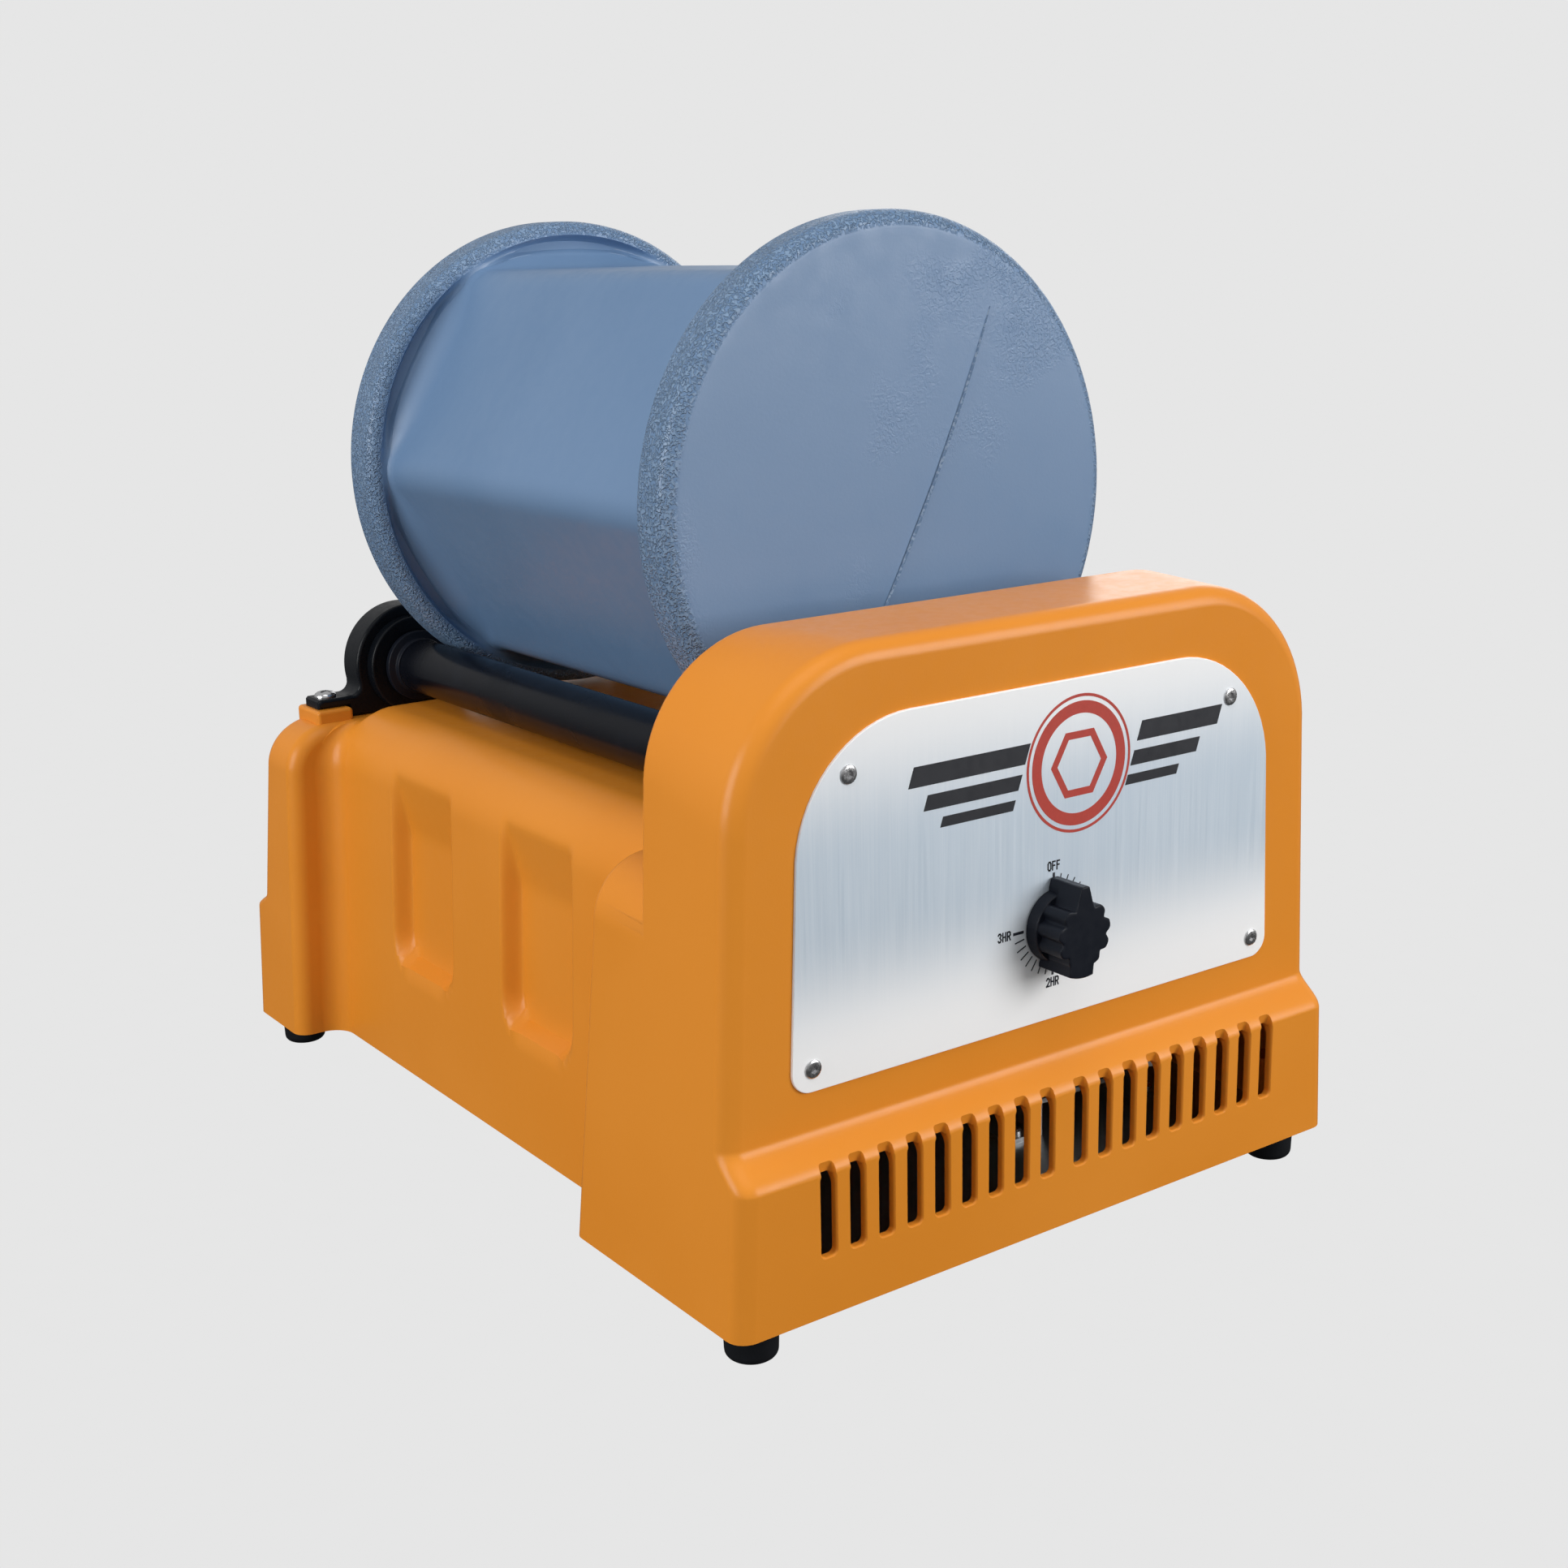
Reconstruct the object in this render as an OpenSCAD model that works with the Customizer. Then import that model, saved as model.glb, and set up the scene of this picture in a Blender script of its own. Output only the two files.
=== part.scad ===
// Rotary drum tumbler: a six-sided drum with two round flanges turns on two rubber rollers.
// Millimetres, +Z up. X runs across the front panel, +Y runs from the panel to the rear.
// Inside the modules, y = 0 is the front of the plinth and z = 0 is the housing's bottom edge.

/* [Housing] */
// Width of the housing at its bottom edge
body_w = 300; // [290:5:380]
// Height of the front tower above the housing's bottom edge
tower_h = 233.5; // [228:0.5:260]
// Depth of the tower where it stands above the deck
tower_d = 55; // [52:1:70]
// Depth of the tower's wider foot, from the front of the plinth
flank_d = 109.5; // [100:0.5:125]
// Height of the tower's wider foot
flank_h = 150; // [135:1:154]
// Wall thickness of the moulded housing
wall = 3; // [2.5:0.1:3.6]
// How far each side wall leans in, for each millimetre of height
side_draft = 0.05; // [0:0.01:0.06]
// Height of the plinth that runs round the bottom
plinth_h = 57; // [50:1:60]
// How far the plinth stands out in front of the tower
plinth_step = 10.5; // [8:0.5:14]
// Height of the deck under the rollers
deck_h = 155.5; // [145:0.5:165]
// How far the middle of each side stands in from the ends
side_recess = 22.4; // [16:0.2:30]
// Depth of the housing behind the drum
rear_len = 61.5; // [58:0.5:80]
// Height of the rubber feet
foot_h = 14.5; // [10:0.5:20]
// Radius of the rubber feet
foot_r = 10; // [8:0.5:12]

/* [Vents] */
// Cooling slots on each side of the centre
vent_count = 9; // [5:1:9]
// Distance between neighbouring slots
vent_pitch = 12.8; // [11:0.1:13]
// Width of a slot
vent_w = 7.2; // [4:0.2:8]
// Height of the slots' lower ends
vent_z = 22.4; // [18:0.2:30]

/* [Drum] */
// Outer radius of the drum's flanges
drum_r = 107.9; // [95:0.1:114]
// Length of the drum
drum_len = 262.2; // [215:0.1:320]
// Width of each flange
flange_w = 21.7; // [16:0.1:30]
// Largest radius of the rounded corners of the six-sided barrel
hex_r = 98; // [85:0.5:104]
// Distance from the axis to the flat sides of the barrel
hex_flat = 88; // [76:0.5:92]
// Wall thickness of the drum
drum_wall = 4; // [3:0.2:6]
// Radius of the mouth in the rear end
mouth_r = 55; // [45:1:62]
// Length of the neck that the gasket grips
neck_len = 14; // [10:0.5:20]

/* [Rollers] */
// Radius of the rubber sleeves
roller_r = 12.6; // [10.4:0.05:16]
// Angle at the drum's axis between straight down and each roller
cradle_angle = 38; // [34:1:42]
// Radius of the steel roller shafts
axle_r = 4; // [3:0.1:5]
// Radial clearance between a turning shaft and its bush
run_fit = 0.05; // [0.02:0.01:0.09]
// Gap between the deck and the underside of the rollers
deck_gap = 2.8; // [1.5:0.1:6]
// Outer radius of the bearing blocks
block_r = 28.5; // [24:0.5:32]
// Depth of the rear bearing blocks
block_d = 16; // [12:0.5:20]
// Distance from the roller's axis to the screws of its bearing block
block_screw_x = 42.2; // [38:0.1:46]

/* [Drive] */
// Radius of the pulley on the driven roller
roller_pulley_r = 30; // [22:0.5:33]
// Radius of the pulley on the motor
motor_pulley_r = 8; // [6:0.5:12]
// Width of the belt
belt_w = 6; // [4:0.5:8]
// Thickness of the belt
belt_t = 2.4; // [1.6:0.1:3]
// Height of the motor's shaft
motor_z = 48; // [44:0.5:56]
// Width of the motor's lamination stack
stack_w = 76; // [66:1:82]
// Thickness of the lamination stack
stack_t = 32; // [24:1:36]
// Radius of the rotor
rotor_r = 21; // [17:0.5:24]
// Radius of the motor's shaft
motor_axle_r = 3; // [2.5:0.1:4]
// Radius of the cooling fan
fan_r = 30; // [24:0.5:32]

/* [Panel] */
// Half width of the face plate at its bottom edge
plate_half = 118.5; // [110:0.5:125]
// Height of the face plate's bottom edge
plate_z0 = 80.1; // [76:0.1:90]
// Height of the face plate's top edge
plate_z1 = 208.5; // [200:0.5:212]
// Thickness of the face plate
plate_t = 1; // [0.8:0.1:2]
// Distance of the timer's shaft from the middle of the panel
knob_x = 1.5; // [-10:0.5:10]
// Height of the timer's shaft
knob_z = 117.3; // [108:0.1:125]
// Radius of the timer knob
knob_r = 14.2; // [12:0.1:16]
// How far the knob stands out from the panel
knob_d = 17; // [14:0.5:20]
// Radius of the cable hole in the gland
cable_r = 3.6; // [2.6:0.1:4.4]

/* [Hidden] */
$fn = 64;

// Smallest gap between faces that move past each other
gap = 0.3;
// How far a cutting shape passes the face it cuts
over = 1;
// Radius of a screw's shank, of the hole that it is driven into and of the hole that it passes
shank_r = 1.5;
pilot_r = 1.52;
pass_r = 1.8;

half_w = body_w / 2;
mid_half = half_w - side_recess;
tower_y0 = plinth_step;
tower_y1 = tower_y0 + tower_d;
slope_z = plinth_h + 7;
tower_round = 56;
flank_round = 24;
flank_lean = 10.5;
drum_y0 = tower_y1 + 29.8;
drum_y1 = drum_y0 + drum_len;
body_d = drum_y1 + rear_len;
gland_lip = 3;
knob_y0 = tower_y0 - plate_t - knob_d;
mid_y = (knob_y0 + body_d + gland_lip) / 2;

roller_z = deck_h + deck_gap + roller_r;
cradle_r = drum_r + roller_r + gap;
roller_x = cradle_r * sin(cradle_angle);
drum_z = roller_z + cradle_r * cos(cradle_angle);

// Rear bearing blocks and the lowered deck that they stand on
block_y0 = drum_y1 + 18.5;
block_y1 = block_y0 + block_d;
block_screw_y = (block_y0 + block_y1) / 2;
low_deck_h = deck_h - 6.5;
deck_end_y = drum_y1 + 0.5;
low_deck_y = drum_y1 + 7.5;
rear_block_y0 = drum_y1 + 9.5;
rear_top_y = body_d - 21;
rear_mid_y = body_d - 11;
rear_round = 20;
deck_round = 27.6;
pad_h = 5.5;
pad_x0 = block_screw_x - 8.6;
pad_x1 = block_screw_x + 9.4;
pad_edge = 4;
block_foot_t = 4.5;
block_foot_x = block_screw_x + 7;
boss_r = block_r - 5;
boss_d = 5;
bush_r = axle_r + 4;

// Places along a roller
sleeve_y0 = tower_y1 + 2.5;
sleeve_y1 = block_y0 - boss_d - 7;
front_block_d = 12;
front_block_y0 = tower_y1 - wall - front_block_d;
front_block_r = 18;
front_screw_r = front_block_r - 6.3;
axle_end_y = block_y1 - 3;
belt_y = tower_y0 + wall + 18.5;
drive_axle_y0 = belt_y - belt_w - 3;
idler_axle_y0 = front_block_y0 - 3;

// Motor
motor_x = roller_x;
stack_y0 = tower_y0 + 51.5;
stack_y1 = stack_y0 + stack_t;
stack_low = 30;
stack_high = 52;
leg_t = 11;
window_h = 15;
bolt_x = stack_w / 2 - 6;
bolt_r = 2;
bracket_gap = 12;
bracket_t = 4;
motor_bush_r = motor_axle_r + 3;
fan_y0 = stack_y1 + bracket_gap + bracket_t + 5;
fan_d = 12;
motor_axle_y1 = fan_y0 + fan_d + 2;
plate_top = 2;
mount_top = motor_z - stack_low;

// Lid
lid_r = mouth_r + 7;
lid_y0 = drum_y1 + gap;
lid_t = 3.5;
stud_r = 4;
press_t = 3.5;
press_y1 = drum_y1 - neck_len + 1.5;
press_y0 = press_y1 - press_t;
washer_t = 1.6;
lid_knob_y0 = lid_y0 + lid_t + washer_t;
lid_knob_d = 20;

// Face plate and timer
plate_draft = 0.04;
plate_round = 50;
plate_corner = 8;
plate_screws = [[92.9, 190], [109.7, 88.7]];
timer_w = 44;
timer_d = 28;
timer_axle_r = 3;
neck_r = 4.8;
nut_t = 2.5;
nut_r = 7;
plate_y = tower_y0 - plate_t;
timer_y0 = tower_y0 + wall;

// Feet, bosses and the cord gland
foot_x = half_w - 16.5;
foot_y = [16.5, body_d - 18];
side_screw_x = mid_half - 8.5;
side_screw_y = [tower_y1 + 70, drum_y1 - 25];
corner_boss_r = 6.5;
gland_x = 96;
gland_z = 33;
gland_r = cable_r + 4;
terminal_pos = [60, body_d - 62];

function arc(x, y, r, from, to, n = 10) =
    [for (i = [0:n]) [x + r * cos(from + (to - from) * i / n), y + r * sin(from + (to - from) * i / n)]];

module placed() {
    translate([0, -mid_y, foot_h]) children();
}

// A flat outline in x and z, stretched along y
module xz_prism(y0, y1) {
    translate([0, y1, 0]) rotate([90, 0, 0]) linear_extrude(y1 - y0) children();
}

// A flat outline in y and z, stretched along x
module yz_prism(x0, x1) {
    translate([x0, 0, 0]) rotate([90, 0, 90]) linear_extrude(x1 - x0) children();
}

module rod(x, z, y0, y1, r) {
    translate([x, y0, z]) rotate([-90, 0, 0]) cylinder(h = y1 - y0, r = r);
}

module tube(x, z, y0, y1, r_out, r_in) {
    difference() {
        rod(x, z, y0, y1, r_out);
        rod(x, z, y0 - over, y1 + over, r_in);
    }
}

// A shape turned from a profile of [radius, y] points, round an axis along y
module turned(x, z) {
    translate([x, 0, z]) rotate([-90, 0, 0]) rotate_extrude() children();
}

module both_sides() {
    children();
    mirror([1, 0, 0]) children();
}

module box(low, high) {
    translate(low) cube(high - low);
}

// A pan head screw that stands on its shank, head up
module pan_screw(head_r, head_h, length, r = shank_r) {
    translate([0, 0, -length]) cylinder(h = length + head_h / 2, r = r);
    cylinder(h = head_h * 0.55, r = head_r);
    translate([0, 0, head_h * 0.55]) cylinder(h = head_h * 0.45, r1 = head_r, r2 = head_r * 0.72);
}

// ---- Housing ----

// Outline of the housing across its width: leaning sides and round upper corners
module arch(half, height, corner, floor_z) {
    top_half = half - side_draft * (height - corner);
    right_arc = arc(top_half - corner, height - corner, corner, 0, 90);
    left_arc = arc(corner - top_half, height - corner, corner, 90, 180);
    low_half = half - side_draft * floor_z;
    polygon(concat([[low_half, floor_z]], right_arc, left_arc, [[-low_half, floor_z]]));
}

// Plan view with two round corners at the front, or at the rear when turned
module plan(half, y0, y1, corner) {
    polygon(concat([[half, y1], [-half, y1]], arc(corner - half, y0 + corner, corner, 180, 270),
        arc(half - corner, y0 + corner, corner, 270, 360)));
}

// The tower, with a plinth that steps out at the bottom
module tower_form(inset, floor_z) {
    intersection() {
        xz_prism(inset, tower_y1 - inset)
            arch(half_w - inset, tower_h - inset, tower_round - inset, floor_z);
        translate([0, 0, floor_z]) linear_extrude(tower_h)
            plan(half_w + over, inset, tower_y1 + over, 10 - inset);
        yz_prism(-half_w - over, half_w + over) polygon([[inset, floor_z], [inset, plinth_h - inset],
            [tower_y0 + inset, slope_z - inset], [tower_y0 + inset, tower_h], [tower_y1, tower_h],
            [tower_y1, floor_z]]);
    }
}

// The tower's wider foot: its round shoulder reaches back over the middle of the body
module flank_form(inset, floor_z) {
    intersection() {
        xz_prism(tower_y0 + wall, flank_d - inset)
            arch(half_w - inset, flank_h - inset, flank_round - inset, floor_z);
        yz_prism(-half_w - over, half_w + over) polygon([[tower_y0, floor_z], [tower_y0, flank_h],
            [flank_d - flank_lean - inset, flank_h], [flank_d - inset, floor_z]]);
    }
}

module middle_form(inset, floor_z) {
    y0 = tower_y1 - 20;
    intersection() {
        xz_prism(y0, block_y1)
            arch(mid_half - inset, deck_h - inset, deck_round - inset, floor_z);
        yz_prism(-half_w, half_w) polygon([[y0, floor_z], [y0, deck_h - inset],
            [deck_end_y - inset, deck_h - inset], [low_deck_y - inset, low_deck_h - inset],
            [block_y1, low_deck_h - inset], [block_y1, floor_z]]);
    }
}

module rear_form(inset, floor_z) {
    intersection() {
        xz_prism(rear_block_y0 + inset, body_d - inset)
            arch(half_w - inset, low_deck_h - inset, rear_round - inset, floor_z);
        translate([0, 0, floor_z]) linear_extrude(low_deck_h + over) mirror([0, 1, 0])
            plan(half_w + over, inset - body_d, -rear_block_y0 + over, 10 - inset);
        yz_prism(-half_w - over, half_w + over) polygon([[rear_block_y0 + inset, floor_z],
            [rear_block_y0 + inset, low_deck_h], [rear_top_y - inset, low_deck_h],
            [rear_mid_y - inset, plinth_h - inset], [body_d - inset, plinth_h - 3 - inset],
            [body_d - inset, floor_z]]);
    }
}

module housing_form(inset, floor_z) {
    tower_form(inset, floor_z);
    flank_form(inset, floor_z);
    middle_form(inset, floor_z);
    rear_form(inset, floor_z);
}

// Two shallow pockets in each side wall: the wall steps in, so it keeps its thickness
pocket_h = 92;
pocket_w = 57;
pocket_d = 4;
pocket_z = 48;
pocket_y = [tower_y1 + 112.5, tower_y1 + 214];

module side_pockets(depth, grow) {
    for (y = pocket_y) if (y + pocket_w / 2 + wall < rear_block_y0) both_sides()
        box([mid_half - side_draft * pocket_z - depth, y - pocket_w / 2 - grow, pocket_z - grow],
            [half_w, y + pocket_w / 2 + grow, pocket_z + pocket_h + grow]);
}

module vents() {
    first = vent_pitch / 2 + 2.05;
    for (i = [0:vent_count - 1]) both_sides()
        box([first + i * vent_pitch - vent_w / 2, -over, vent_z],
            [first + i * vent_pitch + vent_w / 2, tower_y0 - gap, slope_z + over]);
}

module corner_bosses() {
    for (y = foot_y) both_sides() {
        translate([foot_x, y, plate_top]) cylinder(h = 28, r = corner_boss_r);
        box([foot_x, y - 1.5, plate_top], [half_w - wall * 0.75, y + 1.5, plate_top + 28]);
    }
}

module side_bosses() {
    for (y = side_screw_y) both_sides() translate([side_screw_x, y, plate_top]) cylinder(h = 24, r = 6);
}

module deck_pads() {
    for (x = [roller_x - pad_x1, roller_x + pad_x0]) both_sides()
        box([x, block_y0 - pad_edge, low_deck_h - 12],
            [x + pad_x1 - pad_x0, block_y1 + pad_edge, low_deck_h + pad_h]);
}

module block_screw_places() {
    for (s = [-1, 1]) both_sides() translate([roller_x + s * block_screw_x, block_screw_y,
        low_deck_h + pad_h + block_foot_t]) children();
}

// The screws of a front bearing, above and below the shaft
module front_screw_places() {
    for (s = [-1, 1]) both_sides() translate([roller_x, tower_y1, roller_z + s * front_screw_r])
        rotate([-90, 0, 0]) children();
}

module plate_screw_places() {
    for (p = plate_screws) both_sides() translate([p[0], plate_y, p[1]]) rotate([90, 0, 0]) children();
}

module housing() {
    color("darkorange") placed() difference() {
        union() {
            difference() {
                housing_form(0, 0);
                side_pockets(pocket_d, 0);
                difference() {
                    housing_form(wall, -over);
                    side_pockets(pocket_d + wall, wall);
                }
            }
            corner_bosses();
            side_bosses();
            deck_pads();
            for (p = plate_screws) both_sides() rod(p[0], p[1], tower_y0 + over, tower_y0 + wall + 7, 4);
        }
        vents();
        for (y = foot_y) both_sides() translate([foot_x, y, 0]) cylinder(h = 18, r = pilot_r);
        for (y = side_screw_y) both_sides() translate([side_screw_x, y, 0]) cylinder(h = 16, r = pilot_r);
        block_screw_places() translate([0, 0, -block_foot_t - 14]) cylinder(h = 15, r = pilot_r);
        front_screw_places() translate([0, 0, -wall - over]) cylinder(h = wall + 2 * over, r = pass_r);
        plate_screw_places() translate([0, 0, -wall - 9]) cylinder(h = wall + 12, r = pilot_r);
        both_sides() rod(roller_x, roller_z, tower_y1 - wall - over, tower_y1 + over, axle_r + 1.5);
        rod(knob_x, knob_z, tower_y0 - over, tower_y0 + wall + over, neck_r + 0.2);
        rod(gland_x, gland_z, body_d - wall - over, body_d + over, gland_r + 0.2);
    }
}

// ---- Base plate, feet and their screws ----

module bottom_plate() {
    edge = wall + 1;
    neck_half = mid_half - edge;
    color("gainsboro") placed() difference() {
        union() {
            box([edge - half_w, edge, 0], [half_w - edge, flank_d - edge, plate_top]);
            box([-neck_half, flank_d - edge - over, 0], [neck_half, rear_block_y0 + edge + over, plate_top]);
            box([edge - half_w, rear_block_y0 + edge, 0], [half_w - edge, body_d - edge, plate_top]);
        }
        for (y = foot_y) both_sides() translate([foot_x, y, -over]) cylinder(h = 4, r = pass_r);
        for (y = side_screw_y) both_sides() translate([side_screw_x, y, -over]) cylinder(h = 4, r = pass_r);
        mount_screw_places() translate([0, 0, -5]) cylinder(h = 8, r = pass_r);
        for (y = [-12:8:12], x = [-30:12:30]) translate([x, drum_y0 + drum_len / 2 + y, -over])
            cylinder(h = 4, r = 2.5, $fn = 24);
    }
}

module bottom_plate_screws() {
    color("silver") placed() for (y = side_screw_y) both_sides()
        translate([side_screw_x, y, 0]) mirror([0, 0, 1]) pan_screw(3.2, 2.2, 13);
}

module rubber_feet() {
    color("dimgray") placed() for (y = foot_y) both_sides() translate([foot_x, y, -foot_h])
        rotate_extrude() difference() {
            polygon(concat([[0, 0]], arc(foot_r - 3, 2.6, 2.6, -90, 0, 5), [[foot_r, foot_h], [0, foot_h]]));
            translate([-over, -over]) square([4 + over, 6 + over]);
            translate([-over, 0]) square([pass_r + over, foot_h + over]);
        }
}

module foot_screws() {
    color("silver") placed() for (y = foot_y) both_sides()
        translate([foot_x, y, 6 - foot_h]) mirror([0, 0, 1]) pan_screw(3.2, 2.4, foot_h + 9);
}

// ---- Face plate and timer ----

module face_plate() {
    top_half = plate_half - plate_draft * (plate_z1 - plate_round - plate_z0);
    outline = concat(arc(plate_half - plate_corner, plate_z0 + plate_corner, plate_corner, 270, 360, 5),
        arc(top_half - plate_round, plate_z1 - plate_round, plate_round, 0, 90, 14),
        arc(plate_round - top_half, plate_z1 - plate_round, plate_round, 90, 180, 14),
        arc(plate_corner - plate_half, plate_z0 + plate_corner, plate_corner, 180, 270, 5));
    color("silver") placed() difference() {
        xz_prism(plate_y, tower_y0) polygon(outline);
        plate_screw_places() translate([0, 0, -3]) cylinder(h = 6, r = pass_r);
        rod(knob_x, knob_z, plate_y - over, tower_y0 + over, neck_r + 0.2);
    }
}

module face_plate_screws() {
    color("silver") placed() plate_screw_places() difference() {
        pan_screw(3.4, 1.9, 9);
        translate([0, 0, 0.8]) cylinder(h = 3, r = 1.2, $fn = 6);
    }
}

module timer_case() {
    color("dimgray") placed() difference() {
        union() {
            box([knob_x - timer_w / 2, timer_y0, knob_z - timer_w / 2],
                [knob_x + timer_w / 2, timer_y0 + timer_d, knob_z + timer_w / 2]);
            rod(knob_x, knob_z, plate_y - nut_t - 0.5, timer_y0 + over, neck_r);
        }
        rod(knob_x, knob_z, plate_y - nut_t - 2, timer_y0 + 14, timer_axle_r + run_fit);
    }
}

module timer_nut() {
    color("silver") placed() difference() {
        translate([knob_x, plate_y - nut_t, knob_z]) rotate([-90, 0, 0]) cylinder(h = nut_t, r = nut_r, $fn = 6);
        rod(knob_x, knob_z, plate_y - nut_t - over, plate_y + over, neck_r);
    }
}

module timer_shaft() {
    color("lightgray") placed() rod(knob_x, knob_z, knob_y0 + 4, timer_y0 + 13, timer_axle_r);
}

// Ten flutes round the knob, and a pointer fin at the top
module timer_knob() {
    back = plate_y - 0.6;
    color("dimgray") placed() difference() {
        union() {
            rod(knob_x, knob_z, knob_y0, back, knob_r);
            box([knob_x - 1.8, knob_y0, knob_z], [knob_x + 1.8, back, knob_z + knob_r + 3.8]);
        }
        for (i = [1:9]) rod(knob_x + (knob_r + 1.4) * sin(i * 36), knob_z + (knob_r + 1.4) * cos(i * 36),
            knob_y0 - over, back - 3, 2.8);
        rod(knob_x, knob_z, knob_y0 + 4, back + over, timer_axle_r);
        rod(knob_x, knob_z, plate_y - nut_t - 1.2, back + over, nut_r + 1.2);
    }
}

// ---- Motor ----

module stack_outline() {
    difference() {
        translate([-stack_w / 2, -stack_low]) square([stack_w, stack_low + stack_high]);
        translate([-stack_w / 2 + 12, stack_high - leg_t - window_h]) square([stack_w - 24, window_h]);
    }
}

module at_motor() {
    translate([motor_x, 0, motor_z]) children();
}

module motor_stator() {
    color("slategray") placed() at_motor() difference() {
        xz_prism(stack_y0, stack_y1) stack_outline();
        rod(0, 0, stack_y0 - over, stack_y1 + over, rotor_r + 0.5);
        for (s = [-1, 1]) rod(s * bolt_x, 0, stack_y0 - over, stack_y1 + over, bolt_r + 0.2);
    }
}

module motor_coil() {
    coil_half = stack_w / 2 - 13;
    color("peru") placed() at_motor() difference() {
        box([-coil_half, stack_y0 - 9, stack_high - leg_t - window_h + 1],
            [coil_half, stack_y1 + 9, stack_high + 11]);
        box([-coil_half - over, stack_y0, stack_high - leg_t], [coil_half + over, stack_y1, stack_high]);
    }
}

// A bar across the stack on two pillars, with the shaft's bush in its middle
module motor_bracket(face, way) {
    outer = face + way * (bracket_gap + bracket_t);
    inner = face + way * bracket_gap;
    difference() {
        union() {
            box([-stack_w / 2, min(outer, inner), -8], [stack_w / 2, max(outer, inner), 8]);
            for (s = [-1, 1]) rod(s * bolt_x, 0, min(face, inner), max(face, inner), 5);
            rod(0, 0, min(outer, inner) - 2, max(outer, inner) + 2, motor_bush_r + 3);
        }
        rod(0, 0, min(outer, inner) - 3, max(outer, inner) + 3, motor_bush_r);
        for (s = [-1, 1]) rod(s * bolt_x, 0, min(face, outer) - over, max(face, outer) + over, bolt_r + 0.2);
    }
}

module motor_front_bracket() {
    color("lightgray") placed() at_motor() motor_bracket(stack_y0, -1);
}

module motor_rear_bracket() {
    color("lightgray") placed() at_motor() motor_bracket(stack_y1, 1);
}

module motor_bushes() {
    front = stack_y0 - bracket_gap - bracket_t - 2;
    rear = stack_y1 + bracket_gap - 2;
    color("goldenrod") placed() at_motor() for (y = [front, rear])
        tube(0, 0, y, y + bracket_t + 4, motor_bush_r, motor_axle_r + run_fit);
}

module motor_bolts() {
    y0 = stack_y0 - bracket_gap - bracket_t;
    y1 = stack_y1 + bracket_gap + bracket_t;
    color("silver") placed() at_motor() for (s = [-1, 1]) {
        rod(s * bolt_x, 0, y0 - 3, y1 + 4, bolt_r);
        translate([s * bolt_x, y0 - 3, 0]) rotate([-90, 0, 0]) cylinder(h = 3, r = 3.9, $fn = 6);
        translate([s * bolt_x, y1, 0]) rotate([-90, 0, 0]) cylinder(h = 3, r = 3.9, $fn = 6);
    }
}

module mount_screw_places() {
    for (s = [-1, 1], y = [stack_y0 + 6, stack_y1 - 6]) translate([motor_x + s * 38, y, plate_top + 2]) children();
}

// Top-hat bracket of bent sheet that carries the stack
module motor_mount() {
    t = 2;
    foot = 46;
    wall_x = 30;
    color("gainsboro") placed() difference() {
        translate([motor_x, 0, 0]) xz_prism(stack_y0, stack_y1) polygon([[-foot, plate_top], [-foot, plate_top + t],
            [-wall_x, plate_top + t], [-wall_x, mount_top], [wall_x, mount_top], [wall_x, plate_top + t],
            [foot, plate_top + t], [foot, plate_top], [wall_x - t, plate_top], [wall_x - t, mount_top - t],
            [t - wall_x, mount_top - t], [t - wall_x, plate_top]]);
        mount_screw_places() translate([0, 0, -3]) cylinder(h = 5, r = pass_r);
    }
}

module motor_mount_screws() {
    color("silver") placed() mount_screw_places() {
        pan_screw(3.2, 2.2, 6);
        translate([0, 0, -plate_top - 4.2]) cylinder(h = 2.2, r = 3.2, $fn = 6);
    }
}

module motor_shaft() {
    color("lightgray") placed() at_motor() rod(0, 0, belt_y - belt_w / 2 - 5, motor_axle_y1, motor_axle_r);
}

module motor_rotor() {
    color("slategray") placed() at_motor() tube(0, 0, stack_y0 - 2, stack_y1 + 2, rotor_r, motor_axle_r);
}

module motor_fan() {
    blades = 7;
    color("white") placed() at_motor() difference() {
        union() {
            rod(0, 0, fan_y0, fan_y0 + fan_d, 8);
            for (i = [0:blades - 1]) rotate([0, i * 360 / blades, 0]) translate([0, fan_y0 + fan_d / 2, 5])
                rotate([0, 0, 28]) translate([-5.5, -0.9, 0]) cube([11, 1.8, fan_r - 6.4]);
        }
        rod(0, 0, fan_y0 - over, fan_y0 + fan_d + over, motor_axle_r);
    }
}

// A flat pulley with a flange each side of the belt
module pulley(r, hub_r, bore_r) {
    flank = belt_w / 2 + 0.5;
    turned(0, 0) polygon([[bore_r, belt_y - flank - 2], [r + 3, belt_y - flank - 2], [r + 3, belt_y - flank],
        [r, belt_y - flank], [r, belt_y + flank], [r + 3, belt_y + flank], [r + 3, belt_y + flank + 2],
        [hub_r, belt_y + flank + 2], [hub_r, belt_y + flank + 7], [bore_r, belt_y + flank + 7]]);
}

module motor_pulley() {
    color("silver") placed() at_motor() pulley(motor_pulley_r, motor_pulley_r, motor_axle_r);
}

module roller_pulley() {
    color("dimgray") placed() translate([roller_x, 0, roller_z]) difference() {
        pulley(roller_pulley_r, 10, axle_r);
        for (i = [0:5]) rotate([0, i * 60, 0]) rod((roller_pulley_r + 8) / 2, 0, belt_y - belt_w - 3,
            belt_y + belt_w + 3, (roller_pulley_r - 13) / 2.4);
    }
}

module belt_outline(grow) {
    hull() {
        translate([roller_x, roller_z]) circle(r = roller_pulley_r + grow);
        translate([motor_x, motor_z]) circle(r = motor_pulley_r + grow);
    }
}

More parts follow.
